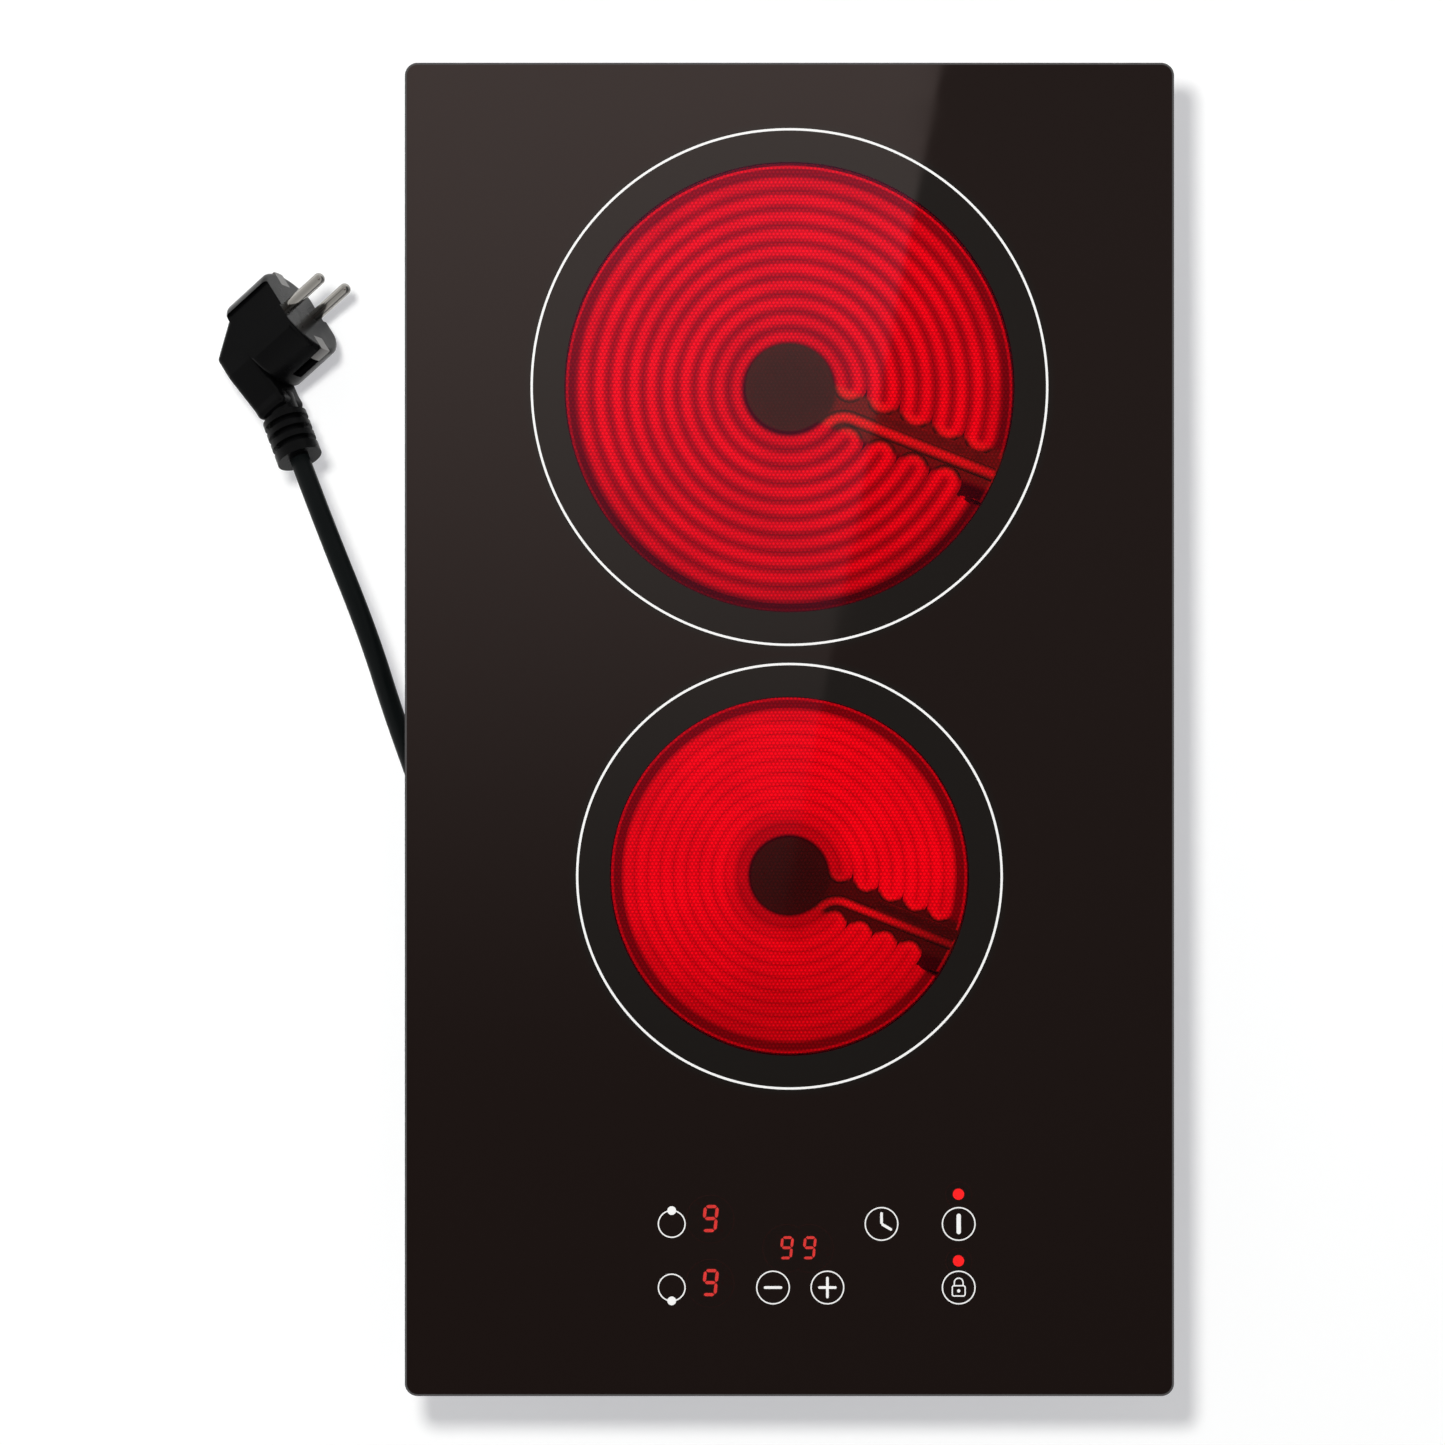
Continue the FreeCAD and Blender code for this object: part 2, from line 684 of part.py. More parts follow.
def make_rivet(x, y, sheet):
    low = post(x, y, FOOT_HEIGHT - RIVET_HEAD_HEIGHT, FOOT_HEIGHT, RIVET_HEAD_RADIUS)
    top = pan_floor + sheet
    high = post(x, y, top, top + RIVET_HEAD_HEIGHT, RIVET_HEAD_RADIUS)
    shank = post(x, y, FOOT_HEIGHT - RIVET_HEAD_HEIGHT, top + RIVET_HEAD_HEIGHT, RIVET_RADIUS)
    return joined([low, shank, high])


def earth_place():
    """Where the earth screw stands, beside the mains terminal block."""
    return TERMINAL_BLOCK_X - TERMINAL_BLOCK_WIDTH / 2 - 3 * SCREW_HEAD_RADIUS, terminal_block_y()


def make_earth_screw():
    x, y = earth_place()
    shank = post(x, y, FOOT_HEIGHT - SCREW_HEAD_HEIGHT, pan_floor + 2 * SCREW_HEAD_HEIGHT, SCREW_RADIUS)
    under = post(x, y, FOOT_HEIGHT - SCREW_HEAD_HEIGHT, FOOT_HEIGHT, SCREW_HEAD_RADIUS)
    nut = post(x, y, pan_floor, pan_floor + SCREW_HEAD_HEIGHT, SCREW_HEAD_RADIUS)
    return joined([under, shank, nut])


# Heaters


class Heater:
    """Sizes of one radiant heater that follow from its zone line and first ring."""

    def __init__(self, name, middle_y, zone_radius, first_ring):
        self.name = name
        self.middle_y = middle_y
        self.dish_radius = zone_radius - DISH_INSET
        self.fill_radius = self.dish_radius - DISH_SHEET - INSULATION_CLEARANCE
        self.well_radius = zone_radius - RIM_WIDTH
        self.pitch = (self.well_radius - RIM_GAP - first_ring) / (RING_COUNT - 1)
        self.rings = [first_ring + i * self.pitch for i in range(RING_COUNT)]
        self.seat = self.dish_radius + SEAT_GAP

    def place(self, shape):
        """Turns a shape from the corridor's frame, X along its middle line, into the hob."""
        shape.rotate(ORIGIN, UP, CORRIDOR_ANGLE)
        shape.translate(point(0, self.middle_y))
        return shape

    def spot(self, along, below, z):
        """A point given along the corridor's middle line and below it, in the hob."""
        spot = FreeCAD.Rotation(UP, CORRIDOR_ANGLE).multVec(point(along, -below, z))
        return (spot.x, spot.y + self.middle_y, z)


# The two feeds of a ribbon, down from the corridor's middle line: at its lead and at its last ring
FEED_DROPS = (LEAD_DROP, RIBBON_END_GAP)
HEATERS = [
    Heater("large", large_y, LARGE_ZONE_RADIUS, LARGE_FIRST_RING),
    Heater("small", small_y, SMALL_ZONE_RADIUS, SMALL_FIRST_RING),
]


def make_dish(heater):
    lip = glass_under - DISH_LIP_GAP
    outer = post(0, 0, dish_under, lip, heater.dish_radius)
    inner = post(0, 0, dish_under + DISH_SHEET, lip, heater.dish_radius - DISH_SHEET)
    return heater.place(without(outer.cut(inner), wall_passages(heater)))


def make_insulation_base(heater):
    return heater.place(post(0, 0, dish_under + DISH_SHEET, insulation_top, heater.fill_radius))


def make_insulation_ring(heater):
    outer = post(0, 0, insulation_top, glass_under, heater.fill_radius)
    inner = post(0, 0, insulation_top, glass_under, heater.well_radius)
    return heater.place(without(outer.cut(inner), wall_passages(heater)))


def wall_passages(heater):
    """Holes through the rim for the limiter tube and the two feed pins."""
    start = heater.well_radius - RIBBON_END_GAP
    length = heater.seat - start
    tube = rod(
        point(start, -LIMITER_OFFSET, limiter_z),
        point(1, 0, 0),
        LIMITER_TUBE_RADIUS + HOLE_CLEARANCE,
        length,
    )
    pins = [
        rod(point(start, -below, ribbon_middle), point(1, 0, 0), FEED_PIN_RADIUS + HOLE_CLEARANCE, length)
        for below in FEED_DROPS
    ]
    return [tube] + pins


def turn_angle(radius, half_pitch, gap):
    """The angle from the corridor's middle line to a turn's middle whose tip keeps the gap."""
    reach = math.hypot(radius, half_pitch)
    return math.degrees(math.asin(gap / reach) + math.atan2(half_pitch, radius))


def make_ribbon(heater):
    """Ten rings joined by turns on both sides of the corridor, and the lead with its bend."""
    half = heater.pitch / 2
    size = (RIBBON_WIDTH, insulation_top, RIBBON_HEIGHT)
    bend_y = -LEAD_DROP - LEAD_BEND_RADIUS
    bend_x = math.sqrt((heater.rings[0] + LEAD_BEND_RADIUS) ** 2 - bend_y**2)
    bend_angle = math.degrees(math.atan2(-bend_y, bend_x))
    last_angle = math.degrees(math.asin(RIBBON_END_GAP / heater.rings[-1]))
    lower = [bend_angle]
    upper = []
    pieces = []
    for i in range(RING_COUNT - 1):
        middle = heater.rings[i] + half
        on_upper = i % 2 == 0
        angle = turn_angle(middle, half, UPPER_TURN_GAP if on_upper else LOWER_TURN_GAP)
        side = angle if on_upper else -angle
        place = (middle * math.cos(math.radians(side)), middle * math.sin(math.radians(side)))
        start = side - 180 if on_upper else side
        pieces.append(ring_sector(place, half, start, 180, *size))
        (upper if on_upper else lower).extend([angle, angle])
    lower.append(last_angle)
    for radius, above, below in zip(heater.rings, upper, lower):
        pieces.append(ring_sector((0, 0), radius, above, 360 - above - below, *size))
    pieces.append(
        ring_sector((bend_x, bend_y), LEAD_BEND_RADIUS, 90, 90 - bend_angle, *size)
    )
    lead_end = heater.well_radius - LEAD_END_GAP
    half_width = RIBBON_WIDTH / 2
    levels = (insulation_top, insulation_top + RIBBON_HEIGHT)
    pieces.append(block((bend_x, lead_end), (-LEAD_DROP - half_width, -LEAD_DROP + half_width), levels))
    return heater.place(joined(pieces))


def make_limiter_tube(heater):
    start = point(LIMITER_START, -LIMITER_OFFSET, limiter_z)
    length = heater.seat + LIMITER_SEAT - LIMITER_START
    along = point(1, 0, 0)
    bore = LIMITER_ROD_RADIUS + RUNNING_CLEARANCE
    tube = rod(start, along, LIMITER_TUBE_RADIUS, length).cut(rod(start, along, bore, length))
    return heater.place(tube)


def limiter_room_start(heater):
    return heater.seat + LIMITER_SEAT + LIMITER_BUTTON_GAP


def make_limiter_rod(heater):
    """The expansion rod in the tube, with the button that works the switch."""
    start = point(LIMITER_START, -LIMITER_OFFSET, limiter_z)
    along = point(1, 0, 0)
    button_x = limiter_room_start(heater) + LIMITER_BUTTON_GAP
    shaft = rod(start, along, LIMITER_ROD_RADIUS, button_x + LIMITER_BUTTON_LENGTH / 2 - LIMITER_START)
    button = rod(
        point(button_x, -LIMITER_OFFSET, limiter_z), along, LIMITER_BUTTON_RADIUS, LIMITER_BUTTON_LENGTH
    )
    return heater.place(joined([shaft, button]))


def make_limiter_housing(heater):
    side = LIMITER_HOUSING_WIDTH / 2
    rise = LIMITER_HOUSING_HEIGHT / 2
    body = block(
        (heater.seat, heater.seat + LIMITER_HOUSING_LENGTH),
        (-LIMITER_OFFSET - side, -LIMITER_OFFSET + side),
        (limiter_z - rise, limiter_z + rise),
    )
    along = point(1, 0, 0)
    start = point(heater.seat, -LIMITER_OFFSET, limiter_z)
    socket = rod(start, along, LIMITER_TUBE_RADIUS + HOLE_CLEARANCE, LIMITER_SEAT)
    guide = rod(start, along, LIMITER_ROD_RADIUS + HOLE_CLEARANCE, LIMITER_SEAT + LIMITER_BUTTON_GAP + 1)
    room_start = limiter_room_start(heater)
    room = block(
        (room_start, room_start + LIMITER_ROOM_LENGTH),
        (-LIMITER_OFFSET - LIMITER_ROOM_WIDTH / 2, -LIMITER_OFFSET + LIMITER_ROOM_WIDTH / 2),
        (limiter_z - LIMITER_ROOM_HEIGHT / 2, limiter_z + LIMITER_ROOM_HEIGHT / 2),
    )
    return heater.place(without(body, [socket, guide, room]))


def feed_pin_starts(heater):
    """Where the two feed pins begin: at the lead's end and beside the last ring's end."""
    ring_edge = heater.rings[-1] + RIBBON_WIDTH / 2
    beside_ring = math.sqrt(ring_edge**2 - (RIBBON_END_GAP - FEED_PIN_RADIUS) ** 2) + SEAT_GAP
    return list(zip((heater.well_radius, beside_ring), FEED_DROPS))


def make_feed_pins(heater):
    end = heater.seat + FEED_PIN_SEAT
    return [
        heater.place(rod(point(start, -below, ribbon_middle), point(1, 0, 0), FEED_PIN_RADIUS, end - start))
        for start, below in feed_pin_starts(heater)
    ]


def make_terminal_block(heater):
    body = block(
        (heater.seat, heater.seat + TERMINAL_LENGTH),
        (-RIBBON_END_GAP - TERMINAL_MARGIN, TERMINAL_MARGIN),
        (ribbon_middle - TERMINAL_HEIGHT / 2, ribbon_middle + TERMINAL_HEIGHT / 2),
    )
    sockets = [
        rod(
            point(heater.seat, -below, ribbon_middle),
            point(1, 0, 0),
            FEED_PIN_RADIUS + HOLE_CLEARANCE,
            FEED_PIN_SEAT,
        )
        for below in FEED_DROPS
    ]
    return heater.place(without(body, sockets))


def tab_spots(heater):
    """Roots of the push-on tabs: two on the terminal block, two on the limiter housing."""
    block_end = heater.seat + TERMINAL_LENGTH
    housing_end = heater.seat + LIMITER_HOUSING_LENGTH
    spots = [(block_end, below, ribbon_middle) for below in FEED_DROPS]
    spots += [(housing_end, LIMITER_OFFSET + s * TAB_SPREAD / 2, limiter_z) for s in (-1, 1)]
    return spots


def make_tabs(heater):
    half = TAB_THICKNESS / 2
    rise = TAB_HEIGHT / 2
    return [
        heater.place(block((x, x + TAB_LENGTH), (-below - half, -below + half), (z - rise, z + rise)))
        for x, below, z in tab_spots(heater)
    ]


def make_spring(y):
    """A leaf spring: flat feet on the pan, ramps and a crown under the heater."""
    crown = SPRING_CROWN / 2
    ramp = crown + SPRING_RAMP
    foot = ramp + SPRING_FOOT
    low = pan_floor + SPRING_SHEET
    upper = [(-foot, low), (-ramp, low), (-crown, dish_under), (crown, dish_under), (ramp, low), (foot, low)]
    under = [(x, z - SPRING_SHEET) for x, z in reversed(upper)]
    corners = [point(x, y - SPRING_WIDTH / 2, z) for x, z in upper + under]
    strip = Part.Face(Part.makePolygon(corners + corners[:1])).extrude(point(0, SPRING_WIDTH))
    hole = RIVET_RADIUS + HOLE_CLEARANCE
    holes = [post(s * spring_rivet_x, y, pan_floor - 1, low + 1, hole) for s in (-1, 1)]
    return without(strip, holes)


# Heat shield


def make_shield():
    left = -pan_half_width + PAN_SHEET + 1
    right = pan_half_width - SHIELD_SIDE_GAP
    half = PAN_SHEET / 2
    wall = block((left, right), (shield_y - half, shield_y + half), (pan_floor, glass_under - SHIELD_TOP_GAP))
    foot = block((left, right), (shield_y - half, shield_y + SHIELD_FOOT), (pan_floor, pan_floor + PAN_SHEET))
    gate = block(
        (WIRE_LANE_X - GATE_WIDTH / 2, WIRE_LANE_X + GATE_WIDTH / 2),
        (shield_y - PAN_SHEET, shield_y + SHIELD_FOOT + PAN_SHEET),
        (pan_floor, pan_floor + GATE_HEIGHT),
    )
    holes = [
        post(x, y, pan_floor - 1, pan_floor + PAN_SHEET + 1, RIVET_RADIUS + HOLE_CLEARANCE)
        for x, y, _ in rivet_places[-2:]
    ]
    return without(joined([wall, foot]), [gate] + holes)


# Controls


def make_tray():
    half_x = board_width / 2 + BOARD_CLEARANCE
    half_y = board_depth / 2 + BOARD_CLEARANCE

    def level(grow, bottom, top):
        return block(
            (CONTROL_SHIFT - half_x - grow, CONTROL_SHIFT + half_x + grow),
            (control_y - half_y - grow, control_y + half_y + grow),
            (bottom, top),
        )

    body = level(TRAY_WALL, tray_under, board_top)
    body = without(
        body, [level(0, board_under, board_top + 1), level(-TRAY_LEDGE, tray_under + TRAY_WALL, board_top)]
    )
    legs = [post(x, y, z, tray_under + TRAY_WALL, TRAY_LEG_RADIUS) for x, y, z in tray_legs]
    bosses = [post(x, y, tray_under, board_under, TRAY_BOSS_RADIUS) for x, y in board_boss_places]
    pilots = [post(x, y, z, z + SCREW_REACH + 1, SCREW_RADIUS + HOLE_CLEARANCE) for x, y, z in tray_legs]
    pilots += [
        post(x, y, board_under - BOARD_SCREW_REACH - 1, board_under, BOARD_SCREW_RADIUS + HOLE_CLEARANCE)
        for x, y in board_boss_places
    ]
    pilots.append(cable_strip(RIBBON_CABLE_SLOT, tray_under - 1, board_under))
    return without(joined([body] + legs + bosses), pilots)


def make_touch_board():
    half_x = board_width / 2
    half_y = board_depth / 2
    board = block(
        (CONTROL_SHIFT - half_x, CONTROL_SHIFT + half_x),
        (control_y - half_y, control_y + half_y),
        (board_under, board_top),
    )
    hole = BOARD_SCREW_RADIUS + HOLE_CLEARANCE
    return without(board, [post(x, y, board_under - 1, board_top + 1, hole) for x, y in board_boss_places])


def make_board_screw(x, y, seat, reach):
    """A small screw driven downwards into a boss or standoff."""
    head = post(x, y, seat, seat + BOARD_SCREW_HEAD_HEIGHT, BOARD_SCREW_HEAD_RADIUS)
    shank = post(x, y, seat - BOARD_THICKNESS - reach, seat + BOARD_SCREW_HEAD_HEIGHT / 2, BOARD_SCREW_RADIUS)
    return joined([head, shank])


def make_pad(place):
    """A springy conductive sleeve between the touch board and the glass."""
    x = CONTROL_SHIFT + place[0]
    y = control_y + place[1]
    return post(x, y, board_top, glass_under, PAD_RADIUS).cut(post(x, y, board_top, glass_under, PAD_BORE))


def make_display(x, y, width, length):
    middle_x = CONTROL_SHIFT + x
    middle_y = control_y + y
    return block(
        (middle_x - width / 2, middle_x + width / 2),
        (middle_y - length / 2, middle_y + length / 2),
        (board_top, glass_under - DISPLAY_GAP),
    )


def make_lamp(y):
    x = CONTROL_SHIFT + POWER_X
    return post(x, control_y + y, board_top, glass_under - DISPLAY_GAP, LAMP_RADIUS)


def make_power_board():
    half_x = POWER_BOARD_WIDTH / 2
    half_y = POWER_BOARD_DEPTH / 2
    board = block(
        (CONTROL_SHIFT - half_x, CONTROL_SHIFT + half_x),
        (power_board_y - half_y, power_board_y + half_y),
        (power_board_under, power_board_top),
    )
    hole = BOARD_SCREW_RADIUS + HOLE_CLEARANCE
    holes = [post(x, y, power_board_under - 1, power_board_top + 1, hole) for x, y in standoff_places]
    return without(board, holes)


def make_standoff(x, y):
    body = post(x, y, pan_floor, power_board_under, STANDOFF_RADIUS)
    return body.cut(post(x, y, pan_floor, power_board_under, BOARD_SCREW_RADIUS + HOLE_CLEARANCE))


def on_power_board(x, width, length, height):
    """A box part on the power board, by its middle from the board's middle."""
    middle = CONTROL_SHIFT + x
    return block(
        (middle - width / 2, middle + width / 2),
        (power_board_y - length / 2, power_board_y + length / 2),
        (power_board_top, power_board_top + height),
    )


def relay_x(i):
    return RELAY_X + (i - (RELAY_COUNT - 1) / 2) * RELAY_PITCH


def cable_strip(grow, bottom, top):
    """The flat cable between the boards, or the slot for it where it is grown."""
    half_width = RIBBON_CABLE_WIDTH / 2 + grow
    half_thickness = RIBBON_CABLE_THICKNESS / 2 + grow
    return block(
        (cable_x - half_width, cable_x + half_width),
        (cable_y - half_thickness, cable_y + half_thickness),
        (bottom, top),
    )


# Mains terminals, wires and gland


def terminal_block_y():
    return riser_y - PAN_SHEET - TERMINAL_BLOCK_GAP - TERMINAL_BLOCK_DEPTH / 2


def make_mains_block():
    y = terminal_block_y()
    body = block(
        (TERMINAL_BLOCK_X - TERMINAL_BLOCK_WIDTH / 2, TERMINAL_BLOCK_X + TERMINAL_BLOCK_WIDTH / 2),
        (y - TERMINAL_BLOCK_DEPTH / 2, y + TERMINAL_BLOCK_DEPTH / 2),
        (pan_floor, pan_floor + TERMINAL_BLOCK_HEIGHT),
    )
    pitch = TERMINAL_BLOCK_WIDTH / 3
    wells = [
        post(
            TERMINAL_BLOCK_X + (i - 1) * pitch,
            y,
            pan_floor + TERMINAL_BLOCK_HEIGHT / 2,
            pan_floor + TERMINAL_BLOCK_HEIGHT,
            pitch / 3,
        )
        for i in range(3)
    ]
    return without(body, wells)


def drop_route(lane_x, lane_z, layer, order):
    """A wire's way from its lane past the shield, across to the power board and down onto it."""
    turn_y = power_board_y + POWER_BOARD_DEPTH / 2 - WIRE_DROP_GAP - order * WIRE_PITCH
    turn_z = shelf_top + WIRE_LANE_RISE - WIRE_SINK + (layer - 1) * WIRE_LAYER
    drop_x = CONTROL_SHIFT + WIRE_DROP_X - layer * WIRE_DROP_PITCH
    return [
        (lane_x, shield_y, lane_z),
        (lane_x, turn_y, turn_z),
        (drop_x, turn_y, turn_z),
        (drop_x, turn_y, power_board_top),
    ]


def make_mains_leads():
    """Three cores from the gland's neck to the side of the mains block."""
    neck_end = recess_rear_y + PAN_SHEET + GLAND_NUT_LENGTH + GLAND_NECK_REACH
    block_side = TERMINAL_BLOCK_X + TERMINAL_BLOCK_WIDTH / 2
    leads = []
    for i in (-1, 0, 1):
        z = gland_z + i * (WIRE_PITCH - WIRE_RADIUS / 2)
        route = [
            (gland_x, neck_end, z),
            (gland_x, terminal_block_y(), z),
            (block_side, terminal_block_y(), z),
        ]
        leads.append(tube_along(route, WIRE_RADIUS, WIRE_SHARE)[0])
    return leads


def make_supply_wires():
    """Two cores from the mains block along the floor to the power board."""
    front_face = terminal_block_y() - TERMINAL_BLOCK_DEPTH / 2
    level = pan_floor + WIRE_RADIUS + WIRE_FLOOR_GAP
    wires = []
    for order in (0, 1):
        side = (2 * order - 1) * WIRE_PITCH / 2
        entry_x = TERMINAL_BLOCK_X + side
        route = [
            (entry_x, front_face, level),
            (entry_x, front_face - WIRE_FIRST_RUN, level),
            (WIRE_LANE_X + side, front_face - WIRE_FIRST_RUN - WIRE_LANE_DRIFT, level),
        ]
        route += drop_route(WIRE_LANE_X + side, level, 0, order)
        wires.append(tube_along(route, WIRE_RADIUS, WIRE_SHARE)[0])
    return wires


def make_heater_wires(heater, layer):
    """Two wires from the heater's tabs along the right wall to the power board."""
    lane_z = shelf_top + WIRE_LANE_RISE + (layer - 1) * WIRE_LAYER
    wires = []
    for order, (along, below, z) in zip((1, 0), tab_spots(heater)):
        lane_x = pan_half_width - WIRE_LANE_GAP - (1 - order) * WIRE_PITCH
        start = heater.spot(along + TAB_LENGTH, below, z)
        ahead = heater.spot(along + TAB_LENGTH + WIRE_FIRST_RUN, below, z)
        route = [start, ahead, (lane_x, ahead[1] - WIRE_LANE_DRIFT, lane_z)]
        route += drop_route(lane_x, lane_z, layer, order)
        wires.append(tube_along(route, WIRE_RADIUS, WIRE_SHARE)[0])
    return wires


def make_gland():
    """A flange on the recess wall, a tapered sleeve for the cord and a threaded neck inside."""
    back = point(0, -1, 0)
    face = point(gland_x, recess_rear_y, gland_z)
    flange = rod(face, back, GLAND_FLANGE_RADIUS, GLAND_FLANGE_LENGTH)
    root = face + back * GLAND_FLANGE_LENGTH
    sleeve = Part.makeCone(GLAND_SLEEVE_RADIUS, GLAND_TIP_RADIUS, GLAND_SLEEVE_LENGTH, root, back)
    neck_length = PAN_SHEET + GLAND_NUT_LENGTH + GLAND_NECK_REACH
    neck = rod(face, point(0, 1, 0), GLAND_NECK_RADIUS, neck_length)
    return joined([neck, flange, sleeve])


def make_gland_nut():
    start = point(gland_x, recess_rear_y + PAN_SHEET, gland_z)
    ahead = point(0, 1, 0)
    hexagon = [
        point(
            gland_x + GLAND_NUT_RADIUS * math.cos(math.radians(60 * i)),
            start.y,
            gland_z + GLAND_NUT_RADIUS * math.sin(math.radians(60 * i)),
        )
        for i in range(6)
    ]
    nut = Part.Face(Part.makePolygon(hexagon + hexagon[:1])).extrude(ahead * GLAND_NUT_LENGTH)
    return nut.cut(rod(start, ahead, GLAND_NECK_RADIUS + HOLE_CLEARANCE, GLAND_NUT_LENGTH))


# Plug, in its own frame: X along the cord outlet, Y along the pin row and Z along the pins


def plug_cup():
    cup = Part.makeCylinder(PLUG_RADIUS, PLUG_CUP_LENGTH, point(0, 0, -PLUG_CUP_LENGTH))
    cup = cup.makeFillet(PLUG_CUP_EDGE, [e for e in cup.Edges if e.Closed])
    cutters = []
    for side in (-1, 1):
        for depth, x_range in (
            (PLUG_FLAT, (-2 * PLUG_RADIUS, 2 * PLUG_RADIUS)),
            (PLUG_FLAT - PLUG_GROOVE_DEPTH, (PLUG_GROOVE_SHIFT - PLUG_GROOVE_WIDTH, PLUG_GROOVE_SHIFT)),
        ):
            y_range = sorted((side * depth, side * 2 * PLUG_RADIUS))
            cutters.append(block(x_range, y_range, (-PLUG_CUP_LENGTH, 0)))
    return without(cup, cutters)


def plug_cover():
    """The closed back of the plug with the neck for the cord, rounded all over."""
    neck_front = -PLUG_BACK + PLUG_NECK_THICKNESS
    side_view = [
        (-PLUG_SHOULDER, -PLUG_CUP_LENGTH + 2 * PLUG_CUP_EDGE),
        (-PLUG_BACK_START, -PLUG_BACK),
        (PLUG_NECK_END, -PLUG_BACK),
        (PLUG_NECK_END, neck_front),
        (PLUG_SHOULDER, neck_front),
    ]
    corners = [point(x, -PLUG_COVER_WIDTH / 2, z) for x, z in side_view]
    body = Part.Face(Part.makePolygon(corners + corners[:1])).extrude(point(0, PLUG_COVER_WIDTH))
    for side in (-1, 1):
        wide = side * (PLUG_COVER_WIDTH / 2 + PLUG_COVER_EDGE)
        narrow = side * PLUG_NECK_WIDTH / 2
        wedge = [
            point(0, wide, -2 * PLUG_BACK),
            point(PLUG_NECK_END + 1, wide, -2 * PLUG_BACK),
            point(PLUG_NECK_END + 1, narrow, -2 * PLUG_BACK),
            point(PLUG_TAPER_END, narrow, -2 * PLUG_BACK),
        ]
        body = body.cut(Part.Face(Part.makePolygon(wedge + wedge[:1])).extrude(point(0, 0, 2 * PLUG_BACK)))
    return body.makeFillet(PLUG_COVER_EDGE, body.Edges)


def relief_axis():
    """Where the strain relief starts on the neck, and the way it points."""
    tilt = math.radians(RELIEF_TILT)
    start = point(PLUG_NECK_END, 0, -PLUG_BACK + PLUG_NECK_THICKNESS / 2)
    return start, point(math.cos(tilt), 0, -math.sin(tilt))


def relief_length():
    return RELIEF_FIRST_RIB + RELIEF_RIB_COUNT * RELIEF_RIB_PITCH + RELIEF_COLLAR_WIDTH


def relief_core(grow):
    """The core of the strain relief, which also runs back into the neck."""
    start, way = relief_axis()
    root = start - way * RELIEF_CORE_RADIUS
    return rod(root, way, RELIEF_CORE_RADIUS + grow, RELIEF_CORE_RADIUS + relief_length())


def make_plug_relief():
    start, way = relief_axis()
    pieces = [relief_core(0)]
    for i in range(RELIEF_RIB_COUNT):
        rib_start = start + way * (RELIEF_FIRST_RIB + i * RELIEF_RIB_PITCH)
        pieces.append(rod(rib_start, way, RELIEF_RIB_RADIUS, RELIEF_RIB_WIDTH))
    collar_start = start + way * (RELIEF_FIRST_RIB + RELIEF_RIB_COUNT * RELIEF_RIB_PITCH)
    pieces.append(rod(collar_start, way, RELIEF_RIB_RADIUS, RELIEF_COLLAR_WIDTH))
    return joined(pieces)


def clip_shape(side, length, grow):
    """An earth clip: a strip along the cup's side, folded over onto its face."""
    outer = PLUG_RADIUS - PLUG_CUP_EDGE
    half = CLIP_WIDTH / 2 + grow
    thick = CLIP_THICKNESS + grow
    x_strip = sorted((side * (outer - thick), side * (outer + PLUG_CUP_EDGE + 1)))
    x_fold = sorted((side * (outer - CLIP_FOLD - grow), side * (outer + PLUG_CUP_EDGE + 1)))
    strip = block(x_strip, (-half, half), (-length - grow, grow))
    fold = block(x_fold, (-half, half), (-thick, grow))
    return joined([strip, fold])


def make_clip(side):
    """The clip, kept inside the cup's own round."""
    round_cup = Part.makeCylinder(PLUG_RADIUS, CLIP_LENGTH, point(0, 0, -CLIP_LENGTH))
    return clip_shape(side, CLIP_LENGTH, 0).common(round_cup)


def pin_places():
    return [point(0, side * PIN_SPACING / 2, -PIN_SEAT) for side in (-1, 1)]


def make_plug_body():
    body = joined([plug_cup(), plug_cover()])
    sockets = [rod(p, UP, PIN_RADIUS + HOLE_CLEARANCE, PIN_SEAT + 1) for p in pin_places()]
    slots = [clip_shape(side, CLIP_SLOT_LENGTH, HOLE_CLEARANCE) for side in (-1, 1)]
    return without(body, sockets + slots + [relief_core(HOLE_CLEARANCE)])


def make_pin(place):
    pin = rod(place, UP, PIN_RADIUS, PIN_SEAT + PIN_LENGTH)
    tip = [e for e in pin.Edges if e.Closed and e.BoundBox.ZMin > 0]
    return pin.makeFillet(PIN_TIP_ROUND, tip)


def plug_placement(bottom):
    """Lays the plug's frame on its place so that its lowest point is on the floor."""
    pins = point(*PLUG_PIN_WAY).normalize()
    row = point(*PLUG_ROW_WAY)
    row = (row - pins * row.dot(pins)).normalize()
    out = row.cross(pins)
    x, y = PLUG_PLACE
    matrix = FreeCAD.Matrix(
        out.x, row.x, pins.x, x, out.y, row.y, pins.y, y, out.z, row.z, pins.z, -bottom, 0, 0, 0, 1
    )
    return FreeCAD.Placement(matrix)


def make_plug():
    """The plug's nodes laid beside the hob, and the point where the cord enters its relief."""
    pieces = {
        "plug_body": make_plug_body(),
        "plug_pins": Part.makeCompound([make_pin(p) for p in pin_places()]),
        "plug_earth_clips": Part.makeCompound([make_clip(side) for side in (-1, 1)]),
        "plug_strain_relief": make_plug_relief(),
    }
    first = pieces["plug_body"].copy()
    first.Placement = plug_placement(0)
    placement = plug_placement(first.optimalBoundingBox().ZMin)
    for shape in pieces.values():
        shape.Placement = placement
    start, way = relief_axis()
    return pieces, placement.multVec(start + way * relief_length()), placement.Rotation.multVec(way)


